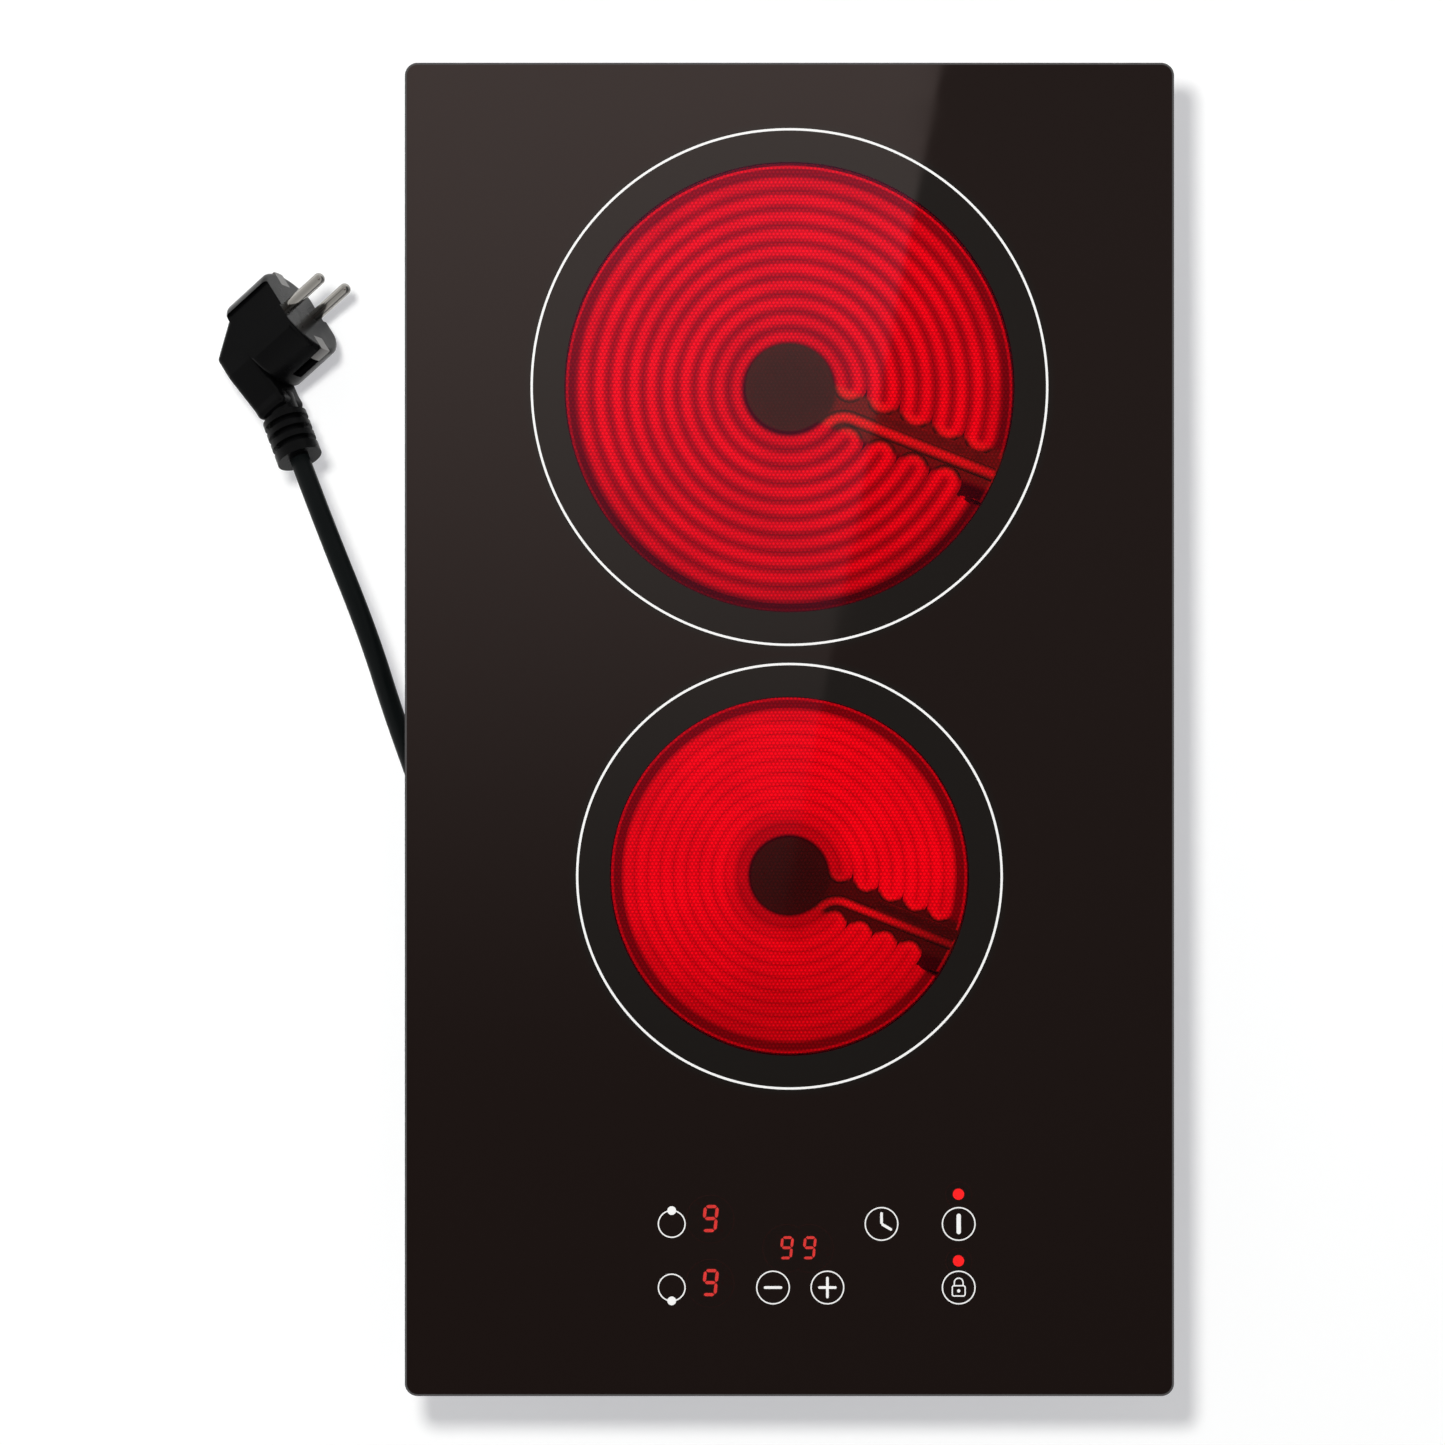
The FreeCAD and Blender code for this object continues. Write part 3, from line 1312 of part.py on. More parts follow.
def make_cord(plug_end, plug_way):
    """The supply cord along its route, ending square on the plug's strain relief."""
    tip_y = recess_rear_y - GLAND_FLANGE_LENGTH - GLAND_SLEEVE_LENGTH
    route = [(gland_x, tip_y, gland_z), (gland_x, tip_y - CORD_FIRST_RUN, gland_z)]
    route += CORD_ROUTE
    route += [tuple(plug_end + plug_way * CORD_LAST_RUN), tuple(plug_end)]
    tube, radii, length = tube_along(route, CORD_DIAMETER / 2, CORD_SHARE)
    print("cord route", [tuple(round(c, 1) for c in p) for p in route])
    print("cord radii", [round(r) for r in radii], "least wanted", CORD_LEAST_RADIUS)
    section = math.pi * CORD_DIAMETER**2 / 4
    print("cord length", round(length, 1), "volume over section", round(tube.Volume / section, 1))
    return tube


# Worktop clamps


def clamp_levels():
    top = shelf_under - CLAMP_GAP
    return top - CLAMP_ARM_THICKNESS, top


def make_clamp_arm(side, end):
    """A flat arm with round ends, parked along the shelf, with a rubber-like pad rib at its tip."""
    bottom, top = clamp_levels()
    x = side * clamp_x
    y = end * clamp_y
    tip_x = x + side * CLAMP_ARM_LENGTH
    half = CLAMP_ARM_WIDTH / 2
    arm = joined(
        [
            block(sorted((x, tip_x)), (y - half, y + half), (bottom, top)),
            post(x, y, bottom, top, half),
            post(tip_x, y, bottom, top, half),
            post(tip_x, y, bottom - CLAMP_PAD_HEIGHT, bottom, CLAMP_PAD_RADIUS),
        ]
    )
    return arm.cut(post(x, y, bottom - 1, top + 1, CLAMP_PIVOT_RADIUS + RUNNING_CLEARANCE))


def make_clamp_screw(side, end):
    """A shoulder screw through the arm and the shelf, with a nut on the shelf."""
    bottom, _ = clamp_levels()
    x = side * clamp_x
    y = end * clamp_y
    head_top = bottom - CLAMP_GAP
    head = post(x, y, head_top - CLAMP_HEAD_HEIGHT, head_top, CLAMP_HEAD_RADIUS)
    shank = post(x, y, head_top - CLAMP_HEAD_HEIGHT, shelf_top + CLAMP_STUD_REACH, CLAMP_PIVOT_RADIUS)
    nut = post(x, y, shelf_top, shelf_top + CLAMP_STUD_REACH - 1, CLAMP_HEAD_RADIUS)
    return joined([head, shank, nut])


# All nodes of the hob


def group(shapes):
    return Part.makeCompound(shapes)


def casing_nodes():
    foot_screw_top = pan_floor + SCREW_REACH
    return {
        "glass_top": make_glass(),
        "glass_bond": make_bond(),
        "worktop_seal": make_seal(),
        "base_pan": make_base_pan(),
        "rubber_feet": group([make_foot(x, y) for x, y in foot_places]),
        "foot_screws": group([make_screw(x, y, FOOT_SINK_DEPTH, foot_screw_top) for x, y in foot_places]),
        "pan_rivets": group([make_rivet(*place) for place in rivet_places]),
        "heat_shield": make_shield(),
    }


def heater_nodes():
    nodes = {}
    for heater in HEATERS:
        nodes[heater.name + "_heater_dish"] = make_dish(heater)
        nodes[heater.name + "_insulation_base"] = make_insulation_base(heater)
        nodes[heater.name + "_insulation_ring"] = make_insulation_ring(heater)
        nodes[heater.name + "_heating_ribbon"] = make_ribbon(heater)
        nodes[heater.name + "_limiter_tube"] = make_limiter_tube(heater)
        nodes[heater.name + "_limiter_rod"] = make_limiter_rod(heater)
        nodes[heater.name + "_limiter_housing"] = make_limiter_housing(heater)
        nodes[heater.name + "_terminal_block"] = make_terminal_block(heater)
    nodes["feed_pins"] = group([pin for heater in HEATERS for pin in make_feed_pins(heater)])
    nodes["terminal_tabs"] = group([tab for heater in HEATERS for tab in make_tabs(heater)])
    nodes["heater_springs"] = group([make_spring(y) for y in spring_rows])
    return nodes


def control_nodes():
    screws = [make_board_screw(x, y, board_top, BOARD_SCREW_REACH) for x, y in board_boss_places]
    screws += [make_board_screw(x, y, power_board_top, STANDOFF_HEIGHT - 1) for x, y in standoff_places]
    zone_size = (ZONE_DISPLAY_WIDTH, ZONE_DISPLAY_LENGTH)
    timer_size = (TIMER_DISPLAY_WIDTH, TIMER_DISPLAY_LENGTH)
    relay_size = (RELAY_WIDTH, RELAY_LENGTH, RELAY_HEIGHT)
    capacitor_x = CONTROL_SHIFT + CAPACITOR_X
    capacitor_top = power_board_top + CAPACITOR_HEIGHT
    return {
        "control_tray": make_tray(),
        "tray_screws": group([make_screw(x, y, z - PAN_SHEET, z + SCREW_REACH) for x, y, z in tray_legs]),
        "touch_board": make_touch_board(),
        "touch_pads": group([make_pad(place) for place in key_places]),
        "zone_displays": group(
            [make_display(ZONE_DIGIT_X, y, *zone_size) for y in (REAR_DIGIT_Y, FRONT_DIGIT_Y)]
        ),
        "timer_display": make_display(TIMER_X, TIMER_Y, *timer_size),
        "indicator_lamps": group([make_lamp(y) for y in (POWER_LAMP_Y, LOCK_LAMP_Y)]),
        "board_screws": group(screws),
        "power_board": make_power_board(),
        "board_standoffs": group([make_standoff(x, y) for x, y in standoff_places]),
        "relays": group([on_power_board(relay_x(i), *relay_size) for i in range(RELAY_COUNT)]),
        "transformer": on_power_board(
            TRANSFORMER_X, TRANSFORMER_WIDTH, TRANSFORMER_LENGTH, TRANSFORMER_HEIGHT
        ),
        "capacitor": post(capacitor_x, power_board_y, power_board_top, capacitor_top, CAPACITOR_RADIUS),
        "ribbon_cable": cable_strip(0, power_board_top, board_under),
    }


def mains_nodes():
    plug, plug_end, plug_way = make_plug()
    nodes = {
        "mains_terminal_block": make_mains_block(),
        "earth_screw": make_earth_screw(),
        "supply_wires": group(make_mains_leads() + make_supply_wires()),
        "small_heater_wires": group(make_heater_wires(HEATERS[1], 1)),
        "large_heater_wires": group(make_heater_wires(HEATERS[0], 2)),
        "cord_gland": make_gland(),
        "gland_nut": make_gland_nut(),
        "power_cord": make_cord(plug_end, plug_way),
    }
    nodes.update(plug)
    return nodes


def clamp_nodes():
    nodes = {"clamp_arm_" + name: make_clamp_arm(*signs) for name, signs in clamp_places.items()}
    nodes["clamp_screws"] = group([make_clamp_screw(*signs) for signs in clamp_places.values()])
    return nodes


def main():
    os.makedirs("parts", exist_ok=True)
    for nodes in (casing_nodes(), heater_nodes(), control_nodes(), mains_nodes(), clamp_nodes()):
        for name, shape in nodes.items():
            shape.exportStep(os.path.join("parts", name + ".step"))


main()
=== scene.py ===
import math
from typing import NamedTuple

import bmesh
import bpy
import numpy as np
from bpy.props import FloatProperty, FloatVectorProperty, PointerProperty
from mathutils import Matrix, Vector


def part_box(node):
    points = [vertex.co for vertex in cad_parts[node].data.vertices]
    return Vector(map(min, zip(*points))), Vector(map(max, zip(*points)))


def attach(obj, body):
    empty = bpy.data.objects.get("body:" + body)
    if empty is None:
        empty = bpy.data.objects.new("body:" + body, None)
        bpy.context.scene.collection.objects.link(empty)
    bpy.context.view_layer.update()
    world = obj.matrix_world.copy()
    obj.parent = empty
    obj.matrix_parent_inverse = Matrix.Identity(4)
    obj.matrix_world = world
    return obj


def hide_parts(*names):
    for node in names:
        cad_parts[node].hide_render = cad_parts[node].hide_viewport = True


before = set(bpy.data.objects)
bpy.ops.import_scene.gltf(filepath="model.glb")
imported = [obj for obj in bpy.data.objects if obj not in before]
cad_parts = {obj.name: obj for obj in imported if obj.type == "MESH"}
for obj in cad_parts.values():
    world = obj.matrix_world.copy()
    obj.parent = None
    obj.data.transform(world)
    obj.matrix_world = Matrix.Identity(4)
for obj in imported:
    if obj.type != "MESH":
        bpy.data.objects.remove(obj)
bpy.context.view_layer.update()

bl_info = {
    "name": "Two-Zone Ceramic Hob",
    "version": (1, 0, 0),
    "blender": (4, 5, 0),
    "location": "3D View > Sidebar > Hob",
    "description": "Finishes a ceramic hob: smoked glass, glowing heaters, touch keys, cord and plug",
    "category": "Object",
}

MM = 0.001
CASING = "casing"


def middle_of(node):
    """The middle of a CAD node's box, seen from above."""
    low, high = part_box(node)
    return np.array([(low.x + high.x) / 2, (low.y + high.y) / 2])


# Places of the hob that its pieces are set by, in metres
GLASS_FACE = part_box("glass_top")[1].z
DISPLAY_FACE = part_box("timer_display")[1].z
KEYS_MIDDLE = middle_of("touch_board")


# Properties that a user may change


def size_property(name, millimetres, description):
    """A length, given in millimetres and held in metres."""
    return FloatProperty(
        name=name, description=description, default=millimetres * MM, unit="LENGTH", precision=5
    )


def colour_property(name, colour, description):
    """A plain linear colour."""
    return FloatVectorProperty(
        name=name, description=description, default=colour, size=3, min=0.0, max=1.0, subtype="COLOR"
    )


def number_property(name, number, description):
    """A bare number, such as the strength of a glow."""
    return FloatProperty(name=name, description=description, default=number)


class HobGlassSettings(bpy.types.PropertyGroup):
    """The smoked glass and what is printed on it."""

    tint: colour_property("Tint", (0.10, 0.0003, 0.009), "Light let through over the heaters")
    light_tint: colour_property("Light tint", (0.10, 0.010, 0.008), "Light let through over the lights")
    body: colour_property("Body", (0.0104, 0.0063, 0.0054), "Colour where no light comes through")
    zone_body: colour_property("Zone body", (0.0096, 0.0082, 0.0072), "Colour of the glass around a heater")
    # Painted light: a faint glow of the glass over the lights, in place of its own lit colour there
    painted_window_light: colour_property("Haze", (0.0059, 0.0053, 0.0046), "Colour of the glass itself over the lights")
    mirror: colour_property("Mirror", (1.0, 0.37, 0.80), "Colour that the glass mirrors over the rings")
    dimple_pitch: size_property("Dimple pitch", 1.55, "Spacing of the dimples under the glass")
    print_colour: colour_property("Print", (0.95, 0.95, 0.94), "Colour of the zone lines and key symbols")
    print_height: size_property("Print height", 0.02, "How far the print stands on the glass")
    zone_line: size_property("Zone line", 0.9, "Width of the lines around the zones")
    large_zone: size_property("Large zone", 100.5, "Radius of the large zone's line")
    small_zone: size_property("Small zone", 82.75, "Radius of the small zone's line")
    symbol_line: size_property("Symbol line", 0.5, "Width of the thin lines of the key symbols")
    symbol_bar: size_property("Symbol bar", 1.05, "Width of the thick bars of the key symbols")
    key_radius: size_property("Key radius", 6.35, "Radius of the rings around the keys")
    selector_radius: size_property("Selector radius", 5.2, "Radius of the zone selectors' rings")


class HobGlowSettings(bpy.types.PropertyGroup):
    """The heating ribbons and everything that shines under the glass."""

    ribbon_colour: colour_property("Ribbon", (1.0, 0.10, 0.06), "Colour of the glowing ribbon")
    ribbon_strength: number_property("Ribbon strength", 9.6, "How strongly the ribbon glows")
    # Painted light: the share of the ribbon's glow that its trace on the bed keeps
    painted_trace_share: number_property("Trace share", 0.86, "Share of its glow that the bed under it has")
    # Painted light of the ribbons, shown as a glow: on the bed outside the last ring, faintly on the rest
    # of the bed and on the tube, and on the well's rim
    painted_bed_light: number_property("Bed strength", 2.5, "How strongly the bed glows outside the last ring")
    faint_painted_light: number_property("Bed warmth", 0.25, "How faintly the rest of the bed glows")
    painted_rim_light: number_property("Rim strength", 5.2, "How strongly the well's rim glows")
    wave_length: size_property("Wave length", 2.0, "Length of one wave of the ribbon")
    ribbon_width: size_property("Ribbon width", 3.9, "Width across the waves of the ribbon")
    ribbon_sheet: size_property("Ribbon sheet", 0.55, "Thickness of the glowing sheet")
    digit_colour: colour_property("Digits", (1.0, 0.53, 0.58), "Colour of the digits")
    digit_strength: number_property("Digit strength", 7.3, "How strongly the digits shine")
    lamp_colour: colour_property("Lamps", (1.0, 0.126, 0.178), "Colour of the lamps")
    lamp_strength: number_property("Lamp strength", 11.0, "How strongly the lamps shine")
    zone_digit: size_property("Zone digit", 10.6, "Height of the zones' digits")
    timer_digit: size_property("Timer digit", 9.0, "Height of the timer's digits")


class HobCordSettings(bpy.types.PropertyGroup):
    """The supply cord."""

    diameter: size_property("Diameter", 8.0, "Diameter of the cord")
    length: size_property("Length", 986.0, "Length of the cord from the gland to the plug")
    colour: colour_property("Sheath", (0.0035, 0.0045, 0.0046), "Colour of the cord's sheath")


class HobStageSettings(bpy.types.PropertyGroup):
    """Floor, light and camera."""

    floor_colour: colour_property("Floor", (0.64, 0.64, 0.62), "Colour of the floor")
    floor_lift: number_property("Floor lift", 0.43, "How much brighter the floor is to the camera")
    camera_height: size_property("Camera height", 3000.0, "Camera above the glass")
    view_width: size_property("View width", 563.4, "Width of the view at the glass")
    view_x: size_property("View X", -26.1, "Middle of the view to the right")
    view_y: size_property("View Y", 2.7, "Middle of the view to the rear")
    key_power: number_property("Key light", 42.0, "Power of the key light in watts")
    sky_strength: number_property("Sky light", 0.42, "Strength of the sky's light")


# Surfaces as arrays

DISC_STEPS = 48
CAP_POINTS = 7
CAP_START = 0.1
MERGE_DISTANCE = 1e-7


def grid_faces(rows, columns, close_rows, close_columns):
    """Quads between neighbours (i, j) of a grid of points, going round where a direction is closed."""
    i = np.arange(rows if close_rows else rows - 1)
    j = np.arange(columns if close_columns else columns - 1)
    i, j = np.meshgrid(i, j, indexing="ij")
    ahead = (i + 1) % rows
    beside = (j + 1) % columns
    corners = [i * columns + j, ahead * columns + j, ahead * columns + beside, i * columns + beside]
    return np.stack(corners, axis=-1).reshape(-1, 4)


def left_normals(path, closed=False):
    """Unit normals of a flat path: its way from neighbour to neighbour, turned a quarter to the left."""
    if closed:
        along = np.roll(path, -1, axis=0) - np.roll(path, 1, axis=0)
    else:
        along = np.gradient(path, axis=0)
    along = along / np.linalg.norm(along, axis=1, keepdims=True)
    return np.stack([-along[:, 1], along[:, 0]], axis=1)


def bar_along(path, half_width, bottom, top, closed=False):
    """A flat path p(s) as a solid bar: p(s) +- n(s) h(s) from bottom to top, n being its left normal."""
    reach = np.broadcast_to(half_width, (len(path),))[:, None] * left_normals(path, closed)
    corners = np.zeros((len(path), 4, 3))
    corners[:, :2, :2] = (path + reach)[:, None, :]
    corners[:, 2:, :2] = (path - reach)[:, None, :]
    corners[:, [0, 3], 2] = bottom
    corners[:, [1, 2], 2] = top
    faces = grid_faces(len(path), 4, closed, True)
    if not closed:
        ends = np.array([[0, 1, 2, 3], [3, 2, 1, 0]])
        ends[1] += 4 * (len(path) - 1)
        faces = np.vstack([faces, ends])
    return corners.reshape(-1, 3), faces


def turned(profile, middle, steps):
    """A profile (r, z) carried once round the upright line through middle: (r cos t, r sin t, z)."""
    angle = np.linspace(0.0, 2 * math.pi, steps, endpoint=False)
    radius, height = np.asarray(profile, dtype=float).T
    points = np.zeros((steps, len(radius), 3))
    points[..., 0] = middle[0] + np.outer(np.cos(angle), radius)
    points[..., 1] = middle[1] + np.outer(np.sin(angle), radius)
    points[..., 2] = height
    return points.reshape(-1, 3), grid_faces(steps, len(radius), True, False)


def arc(middle, radius, start, end, steps):
    """Points of a flat arc between two angles in degrees: middle + radius (cos t, sin t)."""
    angle = np.radians(np.linspace(start, end, steps))
    return np.asarray(middle) + radius * np.stack([np.cos(angle), np.sin(angle)], axis=1)


def ring_line(middle, radius, width, bottom, top, steps):
    """A closed round line of one width."""
    path = arc(middle, radius, 0.0, 360.0, steps + 1)[:-1]
    return bar_along(path, width / 2, bottom, top, closed=True)


def straight(start, end, width, bottom, top):
    """A straight bar with rounded ends: its width falls off as a half circle does."""
    start = np.asarray(start, dtype=float)
    end = np.asarray(end, dtype=float)
    length = np.linalg.norm(end - start)
    cap = min(width / 2, length / 2)
    quarter = np.linspace(CAP_START, math.pi / 2, CAP_POINTS)
    lead = cap * (1 - np.cos(quarter))
    share = np.concatenate([lead, length - lead[::-1]]) / length
    taper = width / 2 * np.sin(quarter)
    half_width = np.concatenate([taper, taper[::-1]])
    return bar_along(start + share[:, None] * (end - start), half_width, bottom, top)


def disc(middle, radius, bottom, top):
    """A round plate."""
    profile = [(0.0, bottom), (radius, bottom), (radius, top), (0.0, top)]
    return turned(profile, middle, DISC_STEPS)


def together(parts):
    """Several surfaces as one, their faces counted on."""
    counts = np.cumsum([0] + [len(points) for points, _ in parts[:-1]])
    points = np.vstack([points for points, _ in parts])
    faces = np.vstack([faces + first for (_, faces), first in zip(parts, counts)])
    return points, faces


def add_object(name, surface, material):
    """A new mesh object from a surface, with one finish."""
    points, faces = surface
    mesh = bpy.data.meshes.new(name)
    mesh.from_pydata(points.tolist(), [], faces.tolist())
    mesh.materials.append(material)
    piece = bpy.data.objects.new(name, mesh)
    bpy.context.scene.collection.objects.link(piece)
    return piece


def add_piece(name, surface, material, across=None):
    """A new piece of the hob, closed where its points meet, with its faces turned outwards."""
    piece = add_object(name, surface, material)
    mesh = piece.data
    if across is not None:
        mesh.attributes.new("across", "FLOAT", "POINT").data.foreach_set("value", across)
    draft = bmesh.new()
    draft.from_mesh(mesh)
    bmesh.ops.remove_doubles(draft, verts=draft.verts, dist=MERGE_DISTANCE)
    bmesh.ops.recalc_face_normals(draft, faces=draft.faces)
    draft.to_mesh(mesh)
    draft.free()
    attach(piece, CASING)
    return piece


# Finishes

# The middle part of a noise, which holds nearly all of it
NOISE_SPAN = (0.3, 0.7)

# Grains across one cloud of colour, and how far gloss and glow stray
CLOUD_GRAINS = 30
GLOSS_STRAY = (-0.06, 0.08)
GLOW_STRAY = (0.92, 1.08)


class Nodes:
    """Short ways to add and join the nodes of one tree."""

    def __init__(self, tree):
        self.tree = tree

    def add(self, kind, **settings):
        """A new node with some of its settings."""
        node = self.tree.nodes.new(kind)
        for key, value in settings.items():
            setattr(node, key, value)
        return node

    def feed(self, socket, source):
        """Joins a socket to another, or sets it to a plain value."""
        if isinstance(source, bpy.types.NodeSocket):
            self.tree.links.new(source, socket)
        elif hasattr(source, "__len__") and len(source) == 3 and socket.type == "RGBA":
            socket.default_value = (*source, 1.0)
        else:
            socket.default_value = source

    def sum(self, operation, *terms):
        """One step of arithmetic on numbers."""
        node = self.add("ShaderNodeMath", operation=operation)
        for socket, term in zip(node.inputs, terms):
            self.feed(socket, term)
        return node.outputs[0]

    def chain(self, operation, first, *terms):
        """Several numbers taken together one after another by the same step."""
        for term in terms:
            first = self.sum(operation, first, term)
        return first

    def vector(self, operation, first, second, output="Vector"):
        """One step of arithmetic on vectors."""
        node = self.add("ShaderNodeVectorMath", operation=operation)
        self.feed(node.inputs[0], first)
        self.feed(node.inputs[1], second)
        return node.outputs[output]

    def span(self, value, low, high, to_low=0.0, to_high=1.0, ease="SMOOTHSTEP"):
        """A number carried from one span to another and held at both ends."""
        node = self.add("ShaderNodeMapRange", interpolation_type=ease)
        terms = {"Value": value, "From Min": low, "From Max": high, "To Min": to_low, "To Max": to_high}
        for name, term in terms.items():
            self.feed(node.inputs[name], term)
        return node.outputs["Result"]

    def axes(self, place):
        """The three numbers of a place."""
        node = self.add("ShaderNodeSeparateXYZ")
        self.feed(node.inputs[0], place)
        return node.outputs

    def background_ray(self):
        """One for a ray from the camera, straight or by way of gloss or glass, and nothing for others."""
        path = self.add("ShaderNodeLightPath").outputs
        rays = ("Is Camera Ray", "Is Glossy Ray", "Is Transmission Ray")
        return self.chain("MAXIMUM", *[path[ray] for ray in rays])


class Finish(Nodes):
    """A material being built: its shader, its object coordinates and short ways to fill its sockets."""

    def __init__(self, name, roughness=0.5, metallic=0.0):
        self.material = bpy.data.materials.new(name)
        self.material.use_nodes = True
        super().__init__(self.material.node_tree)
        self.shader = self.tree.nodes["Principled BSDF"]
        self.shader.inputs["Roughness"].default_value = roughness
        self.shader.inputs["Metallic"].default_value = metallic
        self.place = self.add("ShaderNodeTexCoord").outputs["Object"]

    def noise(self, pitch, detail=3.0, stretch=None):
        """Noise with about one lump in each pitch, in metres."""
        node = self.add("ShaderNodeTexNoise")
        node.inputs["Scale"].default_value = 1.0 / pitch
        node.inputs["Detail"].default_value = detail
        place = self.place if stretch is None else self.vector("MULTIPLY", self.place, stretch)
        self.feed(node.inputs["Vector"], place)
        return node.outputs["Fac"]

    def level(self, noise, low, high):
        """A noise as a number that goes from low to high."""
        return self.span(noise, *NOISE_SPAN, low, high)

    def dimples(self, pitch):
        """Dots in a six-way pattern: three cosine waves a third of a turn apart, added, from 0 to 1."""
        wave = 4 * math.pi / (math.sqrt(3) * pitch)
        waves = []
        for turn in (90.0, 210.0, 330.0):
            way = (wave * math.cos(math.radians(turn)), wave * math.sin(math.radians(turn)), 0.0)
            phase = self.vector("DOT_PRODUCT", self.place, way, output="Value")
            waves.append(self.sum("COSINE", phase))
        lowest, highest = -1.2, 2.8
        return self.span(self.chain("ADD", *waves), lowest, highest)

    def cells(self, pitch):
        """A number of its own, from 0 to 1, for each cell of a patchwork."""
        node = self.add("ShaderNodeTexVoronoi")
        node.inputs["Scale"].default_value = 1.0 / pitch
        self.feed(node.inputs["Vector"], self.place)
        parts = self.add("ShaderNodeSeparateColor")
        self.feed(parts.inputs[0], node.outputs["Color"])
        return parts.outputs[0]

    def between(self, share, low, high):
        """A colour between two."""
        node = self.add("ShaderNodeMix", data_type="RGBA")
        self.feed(node.inputs[0], share)
        self.feed(node.inputs[6], low)
        self.feed(node.inputs[7], high)
        return node.outputs[2]

    def colour(self, source):
        """The surface's own colour."""
        self.feed(self.shader.inputs["Base Color"], source)

    def rough(self, source):
        """How matt the surface is."""
        self.feed(self.shader.inputs["Roughness"], source)

    def relief(self, height, depth):
        """Bump of a real depth in metres."""
        node = self.add("ShaderNodeBump")
        node.inputs["Distance"].default_value = depth
        self.feed(node.inputs["Height"], height)
        self.feed(self.shader.inputs["Normal"], node.outputs["Normal"])

    def shine(self, colour, strength):
        """Light that the surface gives."""
        self.feed(self.shader.inputs["Emission Color"], colour)
        self.feed(self.shader.inputs["Emission Strength"], strength)


class Grain(NamedTuple):
    """A grained finish. The size and depth of its grain are in millimetres."""

    colour: tuple
    size: float
    depth: float
    roughness: float
    metallic: float = 0.0
    cloud: float = 0.12  # how far the colour strays to both sides
    specular: float = 0.5


GRAINS = {
    "matte_steatite": Grain((0.70, 0.68, 0.62), size=0.6, depth=0.04, roughness=0.7),
    "bright_contact_brass": Grain((0.62, 0.46, 0.20), size=0.8, depth=0.02, roughness=0.3, metallic=1.0),
    "drawn_limiter_steel": Grain((0.42, 0.41, 0.40), size=0.6, depth=0.02, roughness=0.35, metallic=1.0),
    "smoked_display_lens": Grain((0.02, 0.004, 0.004), size=0.5, depth=0.01, roughness=0.3),
    "black_silicone_bead": Grain((0.02, 0.02, 0.02), size=1.5, depth=0.1, roughness=0.5),
    "grey_foam_tape": Grain((0.06, 0.06, 0.065), size=0.8, depth=0.25, roughness=0.9),
    "foot_rubber": Grain((0.018, 0.018, 0.018), size=0.7, depth=0.08, roughness=0.75),
    "zinc_plated_screws": Grain((0.58, 0.57, 0.52), size=0.8, depth=0.02, roughness=0.34, metallic=1.0),
    "glass_filled_tray": Grain((0.03, 0.03, 0.03), size=0.6, depth=0.06, roughness=0.6),
    "conductive_pad_foam": Grain((0.03, 0.03, 0.03), size=0.5, depth=0.2, roughness=0.95),
    "turned_standoff_brass": Grain((0.60, 0.45, 0.20), size=0.6, depth=0.02, roughness=0.3, metallic=1.0),
    "relay_case_plastic": Grain((0.02, 0.025, 0.05), size=0.6, depth=0.03, roughness=0.45),
    "varnished_laminations": Grain((0.09, 0.08, 0.04), size=0.5, depth=0.1, roughness=0.5),
    "capacitor_sleeve": Grain((0.10, 0.11, 0.14), size=0.8, depth=0.02, roughness=0.35),
    "flat_cable_plastic": Grain((0.35, 0.35, 0.37), size=1.2, depth=0.1, roughness=0.6),
    "terminal_plastic": Grain((0.62, 0.60, 0.54), size=0.7, depth=0.04, roughness=0.55),
    "nickel_plug_pins": Grain((0.38, 0.365, 0.34), size=4.0, depth=0.005, roughness=0.12, metallic=1.0),
    "nickel_earth_clips": Grain((0.15, 0.145, 0.14), size=1.0, depth=0.02, roughness=0.3, metallic=1.0),
    "gland_plastic": Grain((0.02, 0.02, 0.02), size=0.6, depth=0.05, roughness=0.5),
}


def shade(colour, factor):
    """A colour made lighter or darker."""
    return tuple(min(1.0, c * factor) for c in colour)


def grained(name, grain=None):
    """A moulded or rolled surface: clouded colour, uneven gloss and a fine grain in relief."""
    grain = grain or GRAINS[name]
    pitch = grain.size * MM
    finish = Finish(name, metallic=grain.metallic)
    finish.shader.inputs["Specular IOR Level"].default_value = grain.specular
    cloud = finish.noise(pitch * CLOUD_GRAINS, detail=4.0)
    low, high = [shade(grain.colour, 1 + side * grain.cloud) for side in (-1, 1)]
    finish.colour(finish.between(cloud, low, high))
    finish.rough(finish.level(cloud, *[grain.roughness + stray for stray in GLOSS_STRAY]))
    finish.relief(finish.noise(pitch, detail=2.0), grain.depth * MM)
    return finish.material


def black_moulding(name, colour, roughness):
    """Black moulded plastic with a low shine and a fine eroded grain."""
    return grained(name, Grain(tuple(colour), 0.6, 0.03, roughness, cloud=0.25, specular=0.075))


def pressed_fibre(name, colour):
    """Pressed insulation: soft lumps and short fibres."""
    finish = Finish(name, roughness=0.95)
    fibre = finish.noise(3.0 * MM, detail=6.0)
    finish.colour(finish.between(fibre, shade(colour, 0.75), shade(colour, 1.15)))
    finish.relief(fibre, 0.3 * MM)
    return finish.material


def zinc_sheet(name, colour, roughness=0.38):
    """Galvanised sheet: patches of spangle, each of its own grey, and faint rolling lines."""
    finish = Finish(name, metallic=1.0)
    spangle = finish.cells(11.0 * MM)
    rolling = finish.noise(1.2 * MM, detail=2.0, stretch=(1.0, 0.04, 1.0))
    finish.colour(finish.between(spangle, shade(colour, 0.88), shade(colour, 1.10)))
    lines = finish.level(rolling, roughness - 0.1, roughness)
    finish.rough(finish.sum("MULTIPLY_ADD", spangle, 0.12, lines))
    finish.relief(rolling, 0.03 * MM)
    return finish.material


